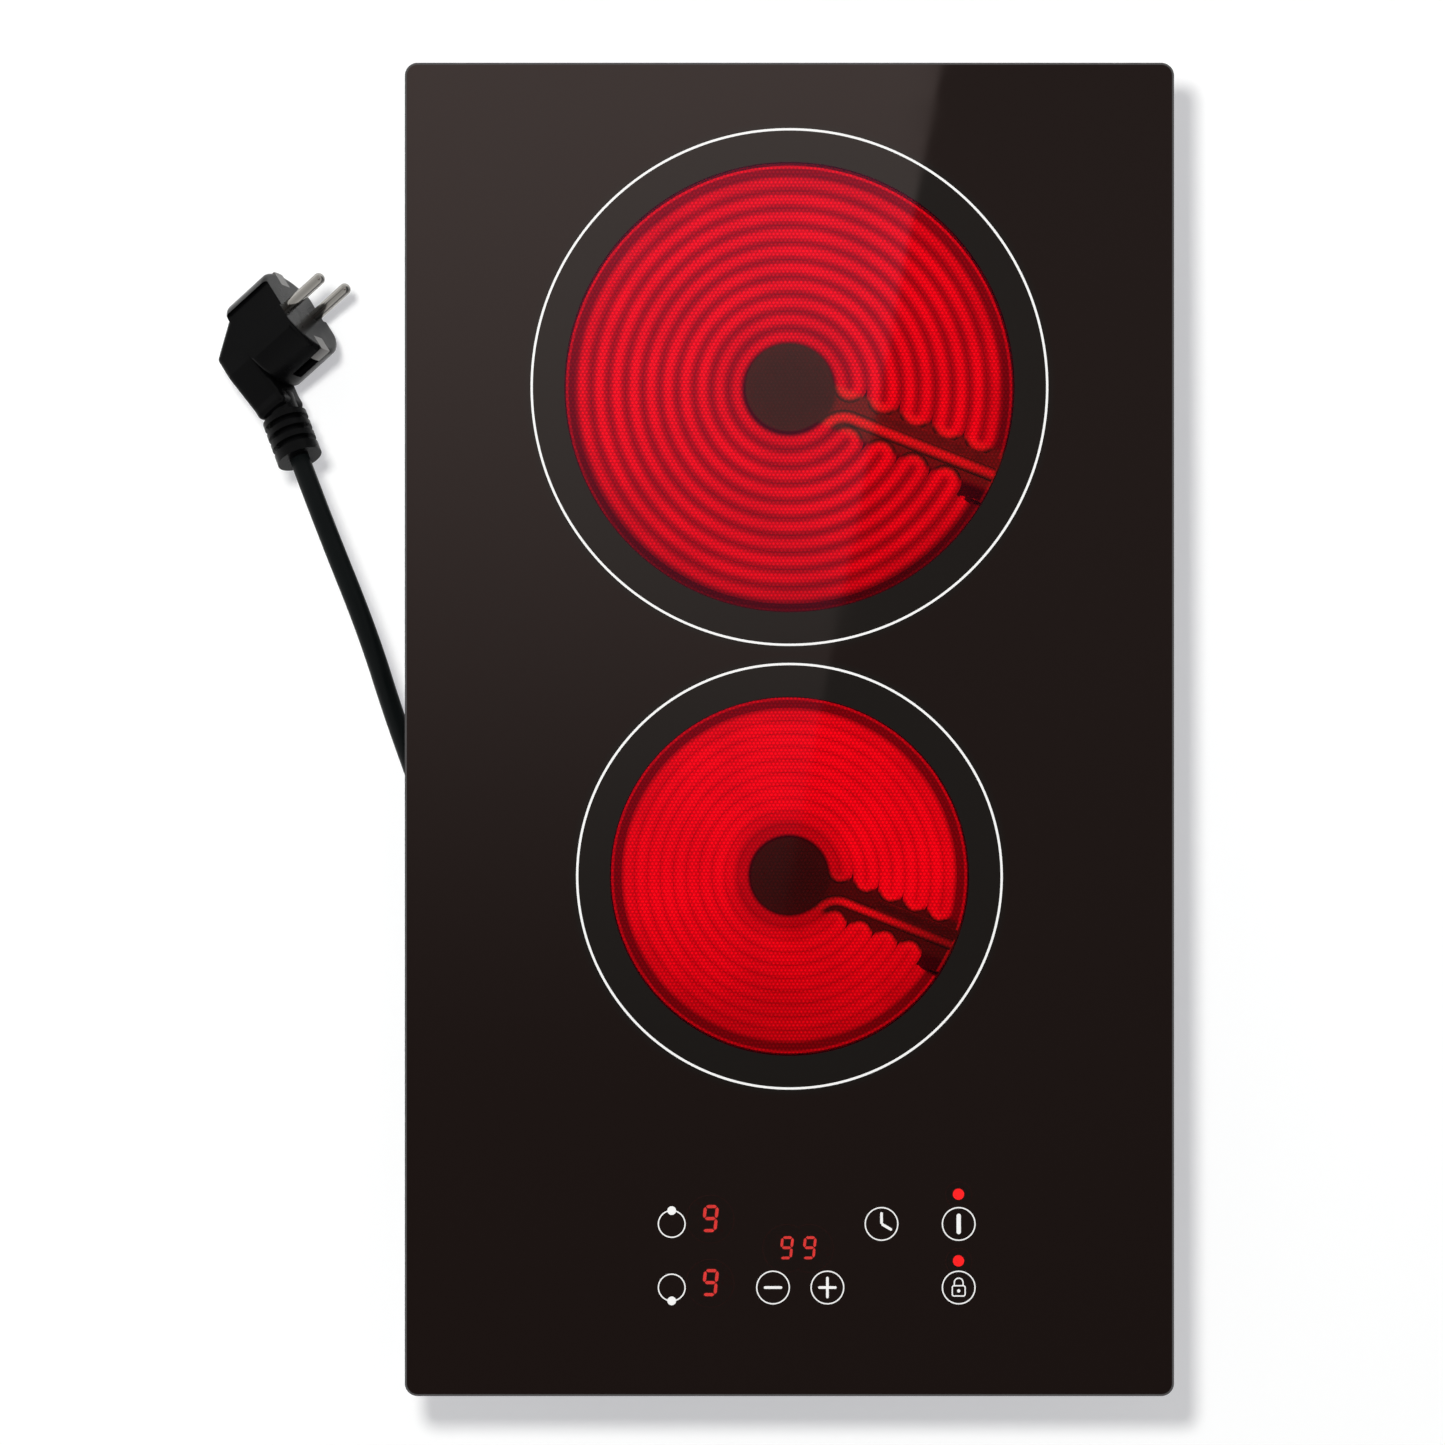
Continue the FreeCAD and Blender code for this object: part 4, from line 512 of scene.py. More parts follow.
def lit_lens(name, colour, strength):
    """Red light-emitting plastic, a little uneven."""
    finish = Finish(name, roughness=0.3)
    finish.colour((0.35, 0.02, 0.015))
    share = finish.level(finish.noise(3.0 * MM), *GLOW_STRAY)
    finish.shine(colour, finish.sum("MULTIPLY", share, strength))
    return finish.material


def circuit_laminate():
    """Green solder resist over copper tracks."""
    finish = Finish("circuit_laminate", roughness=0.35)
    tracks = finish.add("ShaderNodeTexBrick", offset=0.35, squash=1.6, squash_frequency=3)
    tracks.inputs["Scale"].default_value = 140.0
    tracks.inputs["Mortar Size"].default_value = 0.035
    finish.feed(tracks.inputs["Color1"], (0.012, 0.10, 0.035))
    finish.feed(tracks.inputs["Color2"], (0.016, 0.13, 0.045))
    finish.feed(tracks.inputs["Mortar"], (0.03, 0.20, 0.07))
    finish.feed(tracks.inputs["Vector"], finish.place)
    finish.colour(tracks.outputs["Color"])
    finish.relief(tracks.outputs["Fac"], 0.04 * MM)
    return finish.material


def wire_sleeves():
    """Silicone sleeves, some brown and some blue, by where they run."""
    finish = Finish("silicone_wire_sleeves", roughness=0.5)
    share = finish.span(finish.noise(20.0 * MM, detail=0.0), 0.45, 0.55)
    finish.colour(finish.between(share, (0.16, 0.05, 0.02), (0.03, 0.07, 0.25)))
    finish.relief(finish.noise(1.5 * MM), 0.05 * MM)
    return finish.material


def dress(material, *names):
    """Gives CAD pieces a finish in place of their plain one."""
    for name in names:
        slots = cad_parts[name].data.materials
        slots.clear()
        slots.append(material)


# Heaters

# Places on a heater, in degrees and metres. Gaps are from the middle line of its corridor
CORRIDOR_ANGLE = -21.6
CORRIDOR_START = 4.0 * MM
RING_COUNT = 10
RIM_GAP = 6.5 * MM
RIM_WIDTH = 13.0 * MM
UPPER_TURN_GAP = 6.7 * MM
LOWER_TURN_GAP = 7.9 * MM
RIBBON_END_GAP = 14.4 * MM
LEAD_DROP = 1.8 * MM
LEAD_BEND_RADIUS = 9.0 * MM
LEAD_END_GAP = 0.4 * MM
# The trace: a flat sheet on the bed under the ribbon, filling the gaps between rings, that shows painted
# light of the ribbon on the bed
TRACE_FILL = 0.985
TRACE_THICKNESS = 0.05 * MM

# Points of the ribbon's runs, and of one wave, of which its trace takes every fourth
LEAD_POINTS = 40
BEND_POINTS = 24
RING_POINTS = 240
TURN_POINTS = 20
WAVE_POINTS = 8
TRACE_STEP = 4

# Soft edges of the glow and of the painted light on the bed, in metres from the place that they belong to
TURN_EDGE = (-0.7 * MM, 2.1 * MM)
LEAD_EDGE = (2.6 * MM, 3.4 * MM)
TRACE_EDGE = (0.1 * MM, 0.4 * MM)
BED_EDGE = (-0.8 * MM, 0.2 * MM)
RIM_EDGE = (-1.3 * MM, -0.7 * MM)
BED_SIDE_EDGE = (-0.6 * MM, -0.1 * MM)
CLEAR_EDGE = 0.5 * MM

# Where the ribbon's glow rises across its width and across its trace, whose outer parts show painted light
# on the bed, and what share of it the outer rings have
RIBBON_FLANK = (0.9, 0.12)
OUTER_GAP_SHARE = 0.6
LAST_RING_SHARE = 0.86


class HeaterLook(NamedTuple):
    """What differs from one heater to the other, in metres and as shares of the ribbon's glow."""

    first_ring: float
    lead_trace: float
    lead_fade: float
    first_share: float
    front_share: float
    # The gap share, the corridor glow and the rim shares set painted light of the ribbons: on the trace
    # between rings, in the corridor and on the well's rim at its front and rear
    painted_gap_share: float
    ribbon_share: float
    corridor_painted_light: float
    painted_rim_shares: tuple  # at the front and at the rear


HEATER_LOOKS = {
    "large": HeaterLook(
        first_ring=20.5 * MM,
        lead_trace=3.0 * MM,
        lead_fade=0.8,
        first_share=0.82,
        front_share=0.84,
        painted_gap_share=0.50,
        ribbon_share=0.95,
        corridor_painted_light=1.1,
        painted_rim_shares=(0.1, 1.0),
    ),
    "small": HeaterLook(
        first_ring=17.6 * MM,
        lead_trace=2.4 * MM,
        lead_fade=0.3,
        first_share=0.56,
        front_share=0.68,
        painted_gap_share=0.88,
        ribbon_share=1.0,
        corridor_painted_light=0.25,
        painted_rim_shares=(0.55, 0.65),
    ),
}


class Heater:
    """Places and sizes of one heater, read from its CAD pieces and its zone line."""

    def __init__(self, name, zone_radius):
        low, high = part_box(name + "_heating_ribbon")
        self.name = name
        self.look = HEATER_LOOKS[name]
        self.middle = middle_of(name + "_heater_dish")
        self.zone = zone_radius
        self.bed_top = low.z
        self.ribbon_top = high.z
        self.well = zone_radius - RIM_WIDTH
        self.rings = np.linspace(self.look.first_ring, self.well - RIM_GAP, RING_COUNT)
        self.half_pitch = (self.rings[1] - self.rings[0]) / 2
        self.start = self.rings[0] - self.half_pitch

    def turn_angle(self, radius, gap):
        """Degrees from the corridor's middle line to a turn's middle: r sin a - (p / 2) cos a = gap."""
        reach = math.hypot(radius, self.half_pitch)
        return math.degrees(math.asin(gap / reach) + math.atan2(self.half_pitch, radius))

    def lead_bend(self):
        """Middle of the bend between the lead and the first ring, which it touches from outside."""
        bend_y = -LEAD_DROP - LEAD_BEND_RADIUS
        return math.sqrt((self.rings[0] + LEAD_BEND_RADIUS) ** 2 - bend_y**2), bend_y

    def ribbon_line(self):
        """The ribbon's middle line from its lead's end inwards and out again, ring by ring."""
        half = self.half_pitch
        bend_x, bend_y = self.lead_bend()
        bend = math.degrees(math.atan2(-bend_y, bend_x))
        last = math.degrees(math.asin(RIBBON_END_GAP / self.rings[-1]))
        gaps = [UPPER_TURN_GAP, LOWER_TURN_GAP]
        turns = [self.turn_angle(r + half, gaps[i % 2]) for i, r in enumerate(self.rings[:-1])]
        inwards = np.linspace(self.well - LEAD_END_GAP, bend_x, LEAD_POINTS)
        lead = np.stack([inwards, np.full_like(inwards, -LEAD_DROP)], axis=1)
        runs = [lead, arc((bend_x, bend_y), LEAD_BEND_RADIUS, 90.0, 180.0 - bend, BEND_POINTS)[1:]]
        here = 360.0 - bend
        for i, radius in enumerate(self.rings):
            back = i % 2 == 0
            if i == RING_COUNT - 1:
                there = 360.0 - last
            else:
                there = turns[i] if back else 360.0 - turns[i]
            runs.append(arc((0.0, 0.0), radius, here, there, RING_POINTS)[1:])
            if i < RING_COUNT - 1:
                side = math.radians(there)
                middle = (radius + half) * np.array([math.cos(side), math.sin(side)])
                sweep = 180.0 if back else -180.0
                runs.append(arc(middle, half, there + 180.0, there + 180.0 + sweep, TURN_POINTS)[1:])
            here = there
        angle = math.radians(CORRIDOR_ANGLE)
        spin = np.array([[math.cos(angle), -math.sin(angle)], [math.sin(angle), math.cos(angle)]])
        return np.vstack(runs) @ spin.T + self.middle

    def ribbon_surface(self, settings):
        """A sheet p(s) + n(s) h sin(2 pi s / w) over its flat trace, which shows painted light of the
        ribbon on the bed, and each point's place across it.
        """
        line = self.ribbon_line()
        step = np.linalg.norm(np.diff(line, axis=0), axis=1)
        run = np.concatenate([[0.0], np.cumsum(step)])
        s = np.linspace(0.0, run[-1], int(run[-1] / settings.wave_length * WAVE_POINTS))
        path = np.stack([np.interp(s, run, line[:, 0]), np.interp(s, run, line[:, 1])], axis=1)
        swing = (settings.ribbon_width - settings.ribbon_sheet) / 2
        wave = swing * np.sin(2 * math.pi * s / settings.wave_length)
        waved = path + left_normals(path) * wave[:, None]
        sheet = bar_along(waved, settings.ribbon_sheet / 2, self.bed_top, self.ribbon_top)
        lead_run = self.well - LEAD_END_GAP - self.lead_bend()[0]
        bend_end = lead_run + 2 * LEAD_BEND_RADIUS
        reach = np.interp(s, [lead_run, bend_end], [self.look.lead_trace, TRACE_FILL * self.half_pitch])
        under = path[::TRACE_STEP]
        trace = bar_along(under, reach[::TRACE_STEP], self.bed_top, self.bed_top + TRACE_THICKNESS)
        sides = np.tile([1.0, 1.0, -1.0, -1.0], len(under))
        return together([sheet, trace]), np.concatenate([np.repeat(wave / reach, 4), sides])


def both_heaters(glass):
    """The large and the small heater."""
    return [Heater("large", glass.large_zone), Heater("small", glass.small_zone)]


class HeaterAxes:
    """Places on a heater: along and across its corridor, up, to the rear, and out from its middle."""

    def __init__(self, finish, heater):
        self.finish = finish
        self.heater = heater
        local = finish.vector("SUBTRACT", finish.place, (*heater.middle, 0.0))
        turn = finish.add("ShaderNodeVectorRotate", rotation_type="Z_AXIS")
        turn.inputs["Angle"].default_value = -math.radians(CORRIDOR_ANGLE)
        finish.feed(turn.inputs["Vector"], local)
        self.along, self.across, self.height = finish.axes(turn.outputs[0])
        self.rear = finish.axes(local)[1]
        flat = finish.vector("MULTIPLY", local, (1.0, 1.0, 0.0))
        self.radius = finish.vector("DISTANCE", flat, (0.0, 0.0, 0.0), output="Value")

    def open_ring(self, lower_gap):
        """One over the rings and nothing along the corridor, which reaches down by a gap."""
        upper = self.finish.span(self.across, *[UPPER_TURN_GAP + edge for edge in TURN_EDGE])
        lower = self.finish.span(self.across, *[-lower_gap - edge for edge in TURN_EDGE])
        behind = self.finish.span(self.along, CORRIDOR_START, 0.0)
        return self.finish.chain("MAXIMUM", behind, upper, lower)

    def over_rings(self):
        """One from the first ring to the well's rim, and nothing in the middle and along the corridor."""
        start, well = self.heater.start, self.heater.well
        outside = self.finish.span(self.radius, start - CLEAR_EDGE, start + CLEAR_EDGE)
        inside = self.finish.span(self.radius, well, well + CLEAR_EDGE, 1.0, 0.0)
        return self.finish.chain("MULTIPLY", outside, inside, self.open_ring(LOWER_TURN_GAP))

    def past_start(self, low, high):
        """A number that goes from low in the heater's middle to high from its first ring on."""
        return self.finish.span(self.radius, self.heater.start, self.heater.rings[0], low, high)

    def corridor(self):
        """One along the corridor outside the first ring, and nothing elsewhere."""
        closed = self.finish.sum("SUBTRACT", 1.0, self.open_ring(LOWER_TURN_GAP))
        return self.finish.sum("MULTIPLY", self.past_start(0.0, 1.0), closed)


def glowing_ribbon(heater, settings):
    """Red-hot alloy: brightest in its middle line, duller at its ends and along its lead, and duller
    between rings, where its trace shows painted light of the ribbons on the bed.
    """
    finish = Finish(heater.name + "_red_hot_ribbon", roughness=0.6)
    finish.colour((0.10, 0.02, 0.015))
    axes = HeaterAxes(finish, heater)
    look = heater.look
    first, last = heater.rings[0], heater.rings[-1]
    # Painted light of the ribbons on their trace between rings: a share of the glow, none in the middle and
    # along the corridor, and less outside the last ring
    outside = finish.span(axes.radius, last, last + heater.half_pitch, 1.0, OUTER_GAP_SHARE)
    inside = axes.past_start(0.0, look.painted_gap_share)
    gap = finish.chain("MULTIPLY", inside, outside, axes.open_ring(LOWER_TURN_GAP))
    offset = finish.add("ShaderNodeAttribute", attribute_name="across").outputs["Fac"]
    middle = finish.span(finish.sum("ABSOLUTE", offset), *RIBBON_FLANK)
    glow = finish.sum("MULTIPLY_ADD", middle, finish.sum("SUBTRACT", 1.0, gap), gap)
    cloud = finish.level(finish.noise(20.0 * MM, detail=2.0), *GLOW_STRAY)
    # On the bed the trace keeps a share of the glow, as painted light of the ribbon
    low, high = [heater.bed_top + edge for edge in TRACE_EDGE]
    trace = finish.span(axes.height, low, high, settings.painted_trace_share, 1.0)
    rise = finish.span(axes.radius, first, heater.rings[2], look.first_share, 1.0)
    fall = finish.span(axes.radius, heater.rings[-2], last, 1.0, LAST_RING_SHARE)
    front = finish.span(axes.rear, -last, 0.0, look.front_share, 1.0)
    from_lead = finish.sum("ABSOLUTE", finish.sum("ADD", axes.across, LEAD_DROP))
    beside = finish.span(from_lead, *LEAD_EDGE)
    fade = finish.span(axes.along, first, heater.well, 1.0, look.lead_fade)
    lead = finish.sum("MAXIMUM", beside, fade)
    strength = settings.ribbon_strength * look.ribbon_share
    glow = finish.chain("MULTIPLY", glow, cloud, trace, rise, fall, front, lead, strength)
    finish.shine(settings.ribbon_colour, glow)
    return finish.material


def heater_bed(heater, settings):
    """Pressed fibre, darker than the real pale fibre as painted shade, with painted light of the ribbons as
    a glow: outside the last ring and at its rim, less in front, faintly elsewhere and more in the corridor.
    """
    finish = Finish(heater.name + "_heater_bed", roughness=0.95)
    fibre = finish.noise(4.0 * MM, detail=5.0)
    # Far darker than the real pale fibre: painted shade that keeps the bed dim under the glass
    finish.colour(finish.between(fibre, (0.05, 0.045, 0.04), (0.075, 0.068, 0.06)))
    axes = HeaterAxes(finish, heater)
    # Painted light of the ribbons as a glow on the top face: outside the last ring, on the well's rim,
    # dimmer towards the front as painted shade, faintly on the rest and more along the corridor
    last = heater.rings[-1] + heater.half_pitch
    outside = finish.span(axes.radius, *[last + edge for edge in BED_EDGE], 0.0, settings.painted_bed_light)
    outside = finish.sum("MULTIPLY", outside, axes.open_ring(RIBBON_END_GAP))
    rim = finish.span(axes.radius, *[heater.well + edge for edge in RIM_EDGE], 0.0, settings.painted_rim_light)
    front = finish.span(axes.rear, -heater.well, heater.well, *heater.look.painted_rim_shares)
    top_side = finish.span(axes.height, *[heater.bed_top + edge for edge in BED_SIDE_EDGE])
    glow = finish.sum("MULTIPLY_ADD", finish.sum("ADD", outside, rim), front, settings.faint_painted_light)
    glow = finish.sum("MULTIPLY_ADD", axes.corridor(), heater.look.corridor_painted_light, glow)
    finish.shine(settings.ribbon_colour, finish.sum("MULTIPLY", glow, top_side))
    finish.relief(fibre, 0.2 * MM)
    return finish.material


def tube_with_painted_light(heater, settings):
    """Sooted ceramic with painted light of the ribbons as a glow: among the rings as on the bed of the
    corridor, and less in the middle.
    """
    finish = Finish(heater.name + "_sooted_tube", roughness=0.7)
    soot = finish.noise(6.0 * MM, detail=4.0)
    finish.colour(finish.between(soot, (0.09, 0.075, 0.07), (0.14, 0.12, 0.11)))
    # Painted light: the tube glows with the ribbons' light as the bed of the corridor does
    faint_light = settings.faint_painted_light
    glow = HeaterAxes(finish, heater).past_start(faint_light, faint_light + heater.look.corridor_painted_light)
    finish.shine(settings.ribbon_colour, finish.sum("MULTIPLY", glow, finish.level(soot, 0.75, 1.05)))
    finish.relief(soot, 0.04 * MM)
    return finish.material


class HOB_OT_heaters(bpy.types.Operator):
    """Lays the glowing ribbons in their beds"""

    bl_idname = "hob.heaters"
    bl_label = "Heaters"

    def execute(self, context):
        glow = context.scene.hob_glow
        rim = pressed_fibre("pressed_fibre_rim", (0.22, 0.20, 0.18))
        dish = zinc_sheet("aluminised_dish_sheet", (0.44, 0.44, 0.43))
        steatite = grained("matte_steatite")
        steel = grained("drawn_limiter_steel")
        for heater in both_heaters(context.scene.hob_glass):
            name = heater.name
            # The ribbon piece holds its trace, which shows painted light of the ribbon on the bed
            surface, across = heater.ribbon_surface(glow)
            ribbon = glowing_ribbon(heater, glow)
            piece = add_piece(name + "_waved_ribbon", surface, ribbon, across=across)
            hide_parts(name + "_heating_ribbon")
            dress(heater_bed(heater, glow), name + "_insulation_base")
            dress(rim, name + "_insulation_ring")
            dress(dish, name + "_heater_dish")
            dress(steatite, name + "_limiter_housing", name + "_terminal_block")
            dress(tube_with_painted_light(heater, glow), name + "_limiter_tube")
            dress(steel, name + "_limiter_rod")
        dress(grained("bright_contact_brass"), "feed_pins", "terminal_tabs")
        dress(zinc_sheet("rolled_spring_steel", (0.32, 0.32, 0.33), 0.42), "heater_springs")
        return {"FINISHED"}


# Glass and its print

GLASS_IOR = 1.5
GLASS_CLOUD = 35.0 * MM
GLASS_CLOUD_SPAN = (0.35, 0.75)
GLASS_ROUGHNESS = (0.012, 0.04)
LIGHT_EDGE = 0.2 * MM
ZONE_EDGE = 4.0 * MM
DIMPLE_SHADES = (0.70, 1.30)
ZONE_LINE_STEPS = 360
KEY_RING_STEPS = 96

# Keys and lights by their places from the middle of the touch board, in metres
KEY_REAR = 10.2 * MM
KEY_FRONT = -14.6 * MM
SELECTOR_X = -55.9 * MM
MINUS_X = -16.4 * MM
PLUS_X = 4.8 * MM
CLOCK_X = 25.9 * MM
POWER_X = 56.0 * MM
ZONE_DIGIT = ((-40.9 * MM, 12.1 * MM), (-40.9 * MM, -12.9 * MM))
TIMER_DIGIT = ((-11.1 * MM, 0.7 * MM), (-2.2 * MM, 0.7 * MM))
LAMPS = ((POWER_X, 21.6 * MM), (POWER_X, -4.4 * MM))
DIGIT_WINDOW = 9.2 * MM
LAMP_WINDOW = 5.0 * MM
LAMP_RADIUS = 2.2 * MM

# Sizes of the key symbols, in metres
OVERPRINT = 0.01 * MM
SELECTOR_DOT = 1.7 * MM
MINUS_REACH = 3.6 * MM
PLUS_REACH = 4.2 * MM
CLOCK_HANDS = np.array([(0.0, 4.6), (0.0, 0.0), (4.1, -2.4)]) * MM
POWER_REACH = 4.0 * MM
POWER_BAR = 1.7 * MM
LOCK_MIDDLE = np.array((0.0, -1.3 * MM))
LOCK_HALF = np.array((2.5 * MM, 2.0 * MM))
LOCK_CORNER = 0.7 * MM
SHACKLE_RADIUS = 1.7 * MM
SHACKLE_LEG = 1.0 * MM
KEYHOLE_RADIUS = 0.65 * MM
CORNER_POINTS = 8
BOW_POINTS = 24


def smoked_glass(settings, heaters, lights):
    """Dark glass ceramic: red light comes through dimples over the heaters and plainly over the lights,
    where the glass also glows faintly as painted light in place of its own lit colour.
    """
    finish = Finish("smoked_glass_ceramic")
    finish.shader.inputs["IOR"].default_value = GLASS_IOR
    flat = finish.vector("MULTIPLY", finish.place, (1.0, 1.0, 0.0))

    def within(circles, edge):
        """One inside any of the circles, falling to nothing over an edge outside them."""
        shares = []
        for middle, radius in circles:
            far = finish.vector("DISTANCE", flat, (*middle, 0.0), output="Value")
            shares.append(finish.span(far, radius, radius + edge, 1.0, 0.0))
        return finish.chain("MAXIMUM", *shares)

    over_heaters = within([(heater.middle, heater.well) for heater in heaters], CLEAR_EDGE)
    over_lights = within(lights, LIGHT_EDGE)
    zones = within([(heater.middle, heater.zone) for heater in heaters], ZONE_EDGE)
    body = finish.between(zones, settings.body, settings.zone_body)
    plain = finish.between(over_lights, body, settings.light_tint)
    shades = [shade(settings.tint, factor) for factor in DIMPLE_SHADES]
    dimpled = finish.between(finish.dimples(settings.dimple_pitch), *shades)
    finish.colour(finish.between(over_heaters, plain, dimpled))
    clear = finish.sum("MAXIMUM", over_heaters, over_lights)
    finish.feed(finish.shader.inputs["Transmission Weight"], clear)
    over_rings = finish.chain("MAXIMUM", *[HeaterAxes(finish, heater).over_rings() for heater in heaters])
    mirror = finish.between(over_rings, (1.0, 1.0, 1.0), settings.mirror)
    finish.feed(finish.shader.inputs["Specular Tint"], mirror)
    # Painted light: the glass glows faintly over the lights in place of its own lit colour
    finish.shine(settings.painted_window_light, over_lights)
    cloud = finish.noise(GLASS_CLOUD, detail=5.0)
    finish.rough(finish.span(cloud, *GLASS_CLOUD_SPAN, *GLASS_ROUGHNESS))
    return finish.material


def white_print(settings):
    """Fired ceramic print, a little uneven."""
    finish = Finish("fired_white_print", roughness=0.45)
    ink = settings.print_colour
    finish.colour(finish.between(finish.noise(1.2 * MM), shade(ink, 0.93), ink))
    return finish.material


def print_levels(settings):
    """Bottom and top of the print on the glass."""
    return GLASS_FACE, GLASS_FACE + settings.print_height


class HOB_OT_glass(bpy.types.Operator):
    """Finishes the glass and prints the zone lines on it"""

    bl_idname = "hob.glass"
    bl_label = "Glass"

    def execute(self, context):
        settings = context.scene.hob_glass
        ink = white_print(settings)
        levels = print_levels(settings)
        lights = [(KEYS_MIDDLE + place, DIGIT_WINDOW) for place in ZONE_DIGIT + TIMER_DIGIT]
        lights += [(KEYS_MIDDLE + place, LAMP_WINDOW) for place in LAMPS]
        heaters = both_heaters(settings)
        for heater in heaters:
            line = ring_line(heater.middle, heater.zone, settings.zone_line, *levels, ZONE_LINE_STEPS)
            add_piece(heater.name + "_zone_line", line, ink)
        dress(smoked_glass(settings, heaters, lights), "glass_top")
        return {"FINISHED"}


class KeyPrint:
    """Draws key symbols as thin raised print around places on the touch board."""

    def __init__(self, settings):
        self.settings = settings
        self.levels = print_levels(settings)

    def ring(self, place, radius):
        """A thin ring."""
        width = self.settings.symbol_line
        return ring_line(KEYS_MIDDLE + place, radius, width, *self.levels, KEY_RING_STEPS)

    def bar(self, place, start, end, width, lift=0.0):
        """A straight bar with round ends."""
        middle = KEYS_MIDDLE + place
        return straight(middle + start, middle + end, width, self.levels[0], self.levels[1] + lift)

    def dot(self, place, radius, lift=0.0):
        """A full round dot."""
        return disc(KEYS_MIDDLE + place, radius, self.levels[0], self.levels[1] + lift)

    def stroke(self, place, path, closed=False):
        """A thin line along a path."""
        line = KEYS_MIDDLE + place + path
        return bar_along(line, self.settings.symbol_line / 2, *self.levels, closed=closed)

    def key(self, place):
        """The ring around a key."""
        return self.ring(place, self.settings.key_radius)

    def selector(self, place, side):
        """A ring with a dot on it towards the zone that it selects."""
        radius = self.settings.selector_radius
        spot = np.array(place) + (0.0, side * radius)
        return [self.ring(place, radius), self.dot(spot, SELECTOR_DOT, OVERPRINT)]

    def minus(self, place):
        """A level bar."""
        bar = self.settings.symbol_bar
        return [self.key(place), self.bar(place, (-MINUS_REACH, 0.0), (MINUS_REACH, 0.0), bar)]

    def plus(self, place):
        """A level bar with an upright one over it."""
        bar = self.settings.symbol_bar
        upright = self.bar(place, (0.0, -PLUS_REACH), (0.0, PLUS_REACH), bar, OVERPRINT)
        return self.minus(place) + [upright]

    def clock(self, place):
        """A dial with one hand up and one to the lower right."""
        bar = self.settings.symbol_bar
        up, hub, down = CLOCK_HANDS
        return [self.key(place), self.bar(place, up, hub, bar), self.bar(place, hub, down, bar, OVERPRINT)]

    def power(self, place):
        """A broad upright bar."""
        return [self.key(place), self.bar(place, (0.0, -POWER_REACH), (0.0, POWER_REACH), POWER_BAR)]

    def lock(self, place):
        """A padlock: a round-cornered body, a shackle over it and a keyhole."""
        inner = np.array([(1, -1), (1, 1), (-1, 1), (-1, -1)]) * (LOCK_HALF - LOCK_CORNER)
        starts = (-90.0, 0.0, 90.0, 180.0)
        middles = LOCK_MIDDLE + inner
        corners = [arc(c, LOCK_CORNER, a, a + 90.0, CORNER_POINTS) for c, a in zip(middles, starts)]
        body = np.vstack(corners)
        foot = LOCK_MIDDLE[1] + LOCK_HALF[1] + self.settings.symbol_line / 2
        bow = arc((0.0, foot + SHACKLE_LEG), SHACKLE_RADIUS, 0.0, 180.0, BOW_POINTS)
        shackle = np.vstack([(SHACKLE_RADIUS, foot), bow, (-SHACKLE_RADIUS, foot)])
        keyhole = self.dot(np.array(place) + LOCK_MIDDLE, KEYHOLE_RADIUS)
        strokes = [self.stroke(place, body, closed=True), self.stroke(place, shackle)]
        return [self.key(place), *strokes, keyhole]


class HOB_OT_keys(bpy.types.Operator):
    """Prints the symbols of the touch keys on the glass"""

    bl_idname = "hob.keys"
    bl_label = "Touch Keys"

    def execute(self, context):
        ink = bpy.data.materials["fired_white_print"]
        draw = KeyPrint(context.scene.hob_glass)
        symbols = {
            "rear_selector_symbol": draw.selector((SELECTOR_X, KEY_REAR), 1),
            "front_selector_symbol": draw.selector((SELECTOR_X, KEY_FRONT), -1),
            "minus_symbol": draw.minus((MINUS_X, KEY_FRONT)),
            "plus_symbol": draw.plus((PLUS_X, KEY_FRONT)),
            "clock_symbol": draw.clock((CLOCK_X, KEY_REAR)),
            "power_symbol": draw.power((POWER_X, KEY_REAR)),
            "lock_symbol": draw.lock((POWER_X, KEY_FRONT)),
        }
        for name, parts in symbols.items():
            add_piece(name, together(parts), ink)
        return {"FINISHED"}


# Lights under the glass

LIGHT_THICKNESS = 0.06 * MM

# A digit's width and bars as shares of its height, and a bar's gap and ends as shares of its width
DIGIT_WIDTH = 0.44
DIGIT_BAR = 0.118
DIGIT_LEAN = 6.0
BAR_GAP = 0.25
BAR_ENDS = np.array([0.12, 0.5, 0.5, 0.12])


def digit_nine(middle, height, bottom, top):
    """A leaning seven-bar nine: each bar swells from its pointed ends to its full width."""
    bar = DIGIT_BAR * height
    lean = math.tan(math.radians(DIGIT_LEAN))
    x, y = DIGIT_WIDTH * height / 2, height / 2 - bar / 2
    ends = np.array(
        [
            [(-x, y), (x, y)],
            [(x, y), (x, 0.0)],
            [(x, 0.0), (x, -y)],
            [(-x, -y), (x, -y)],
            [(-x, y), (-x, 0.0)],
            [(-x, 0.0), (x, 0.0)],
        ]
    )
    parts = []
    for start, end in ends:
        way = (end - start) / np.linalg.norm(end - start)
        first, last = start + way * BAR_GAP * bar, end - way * BAR_GAP * bar
        path = np.array([first, first + way * bar / 2, last - way * bar / 2, last])
        path[:, 0] += lean * path[:, 1]
        parts.append(bar_along(np.asarray(middle) + path, BAR_ENDS * bar, bottom, top))
    return together(parts)


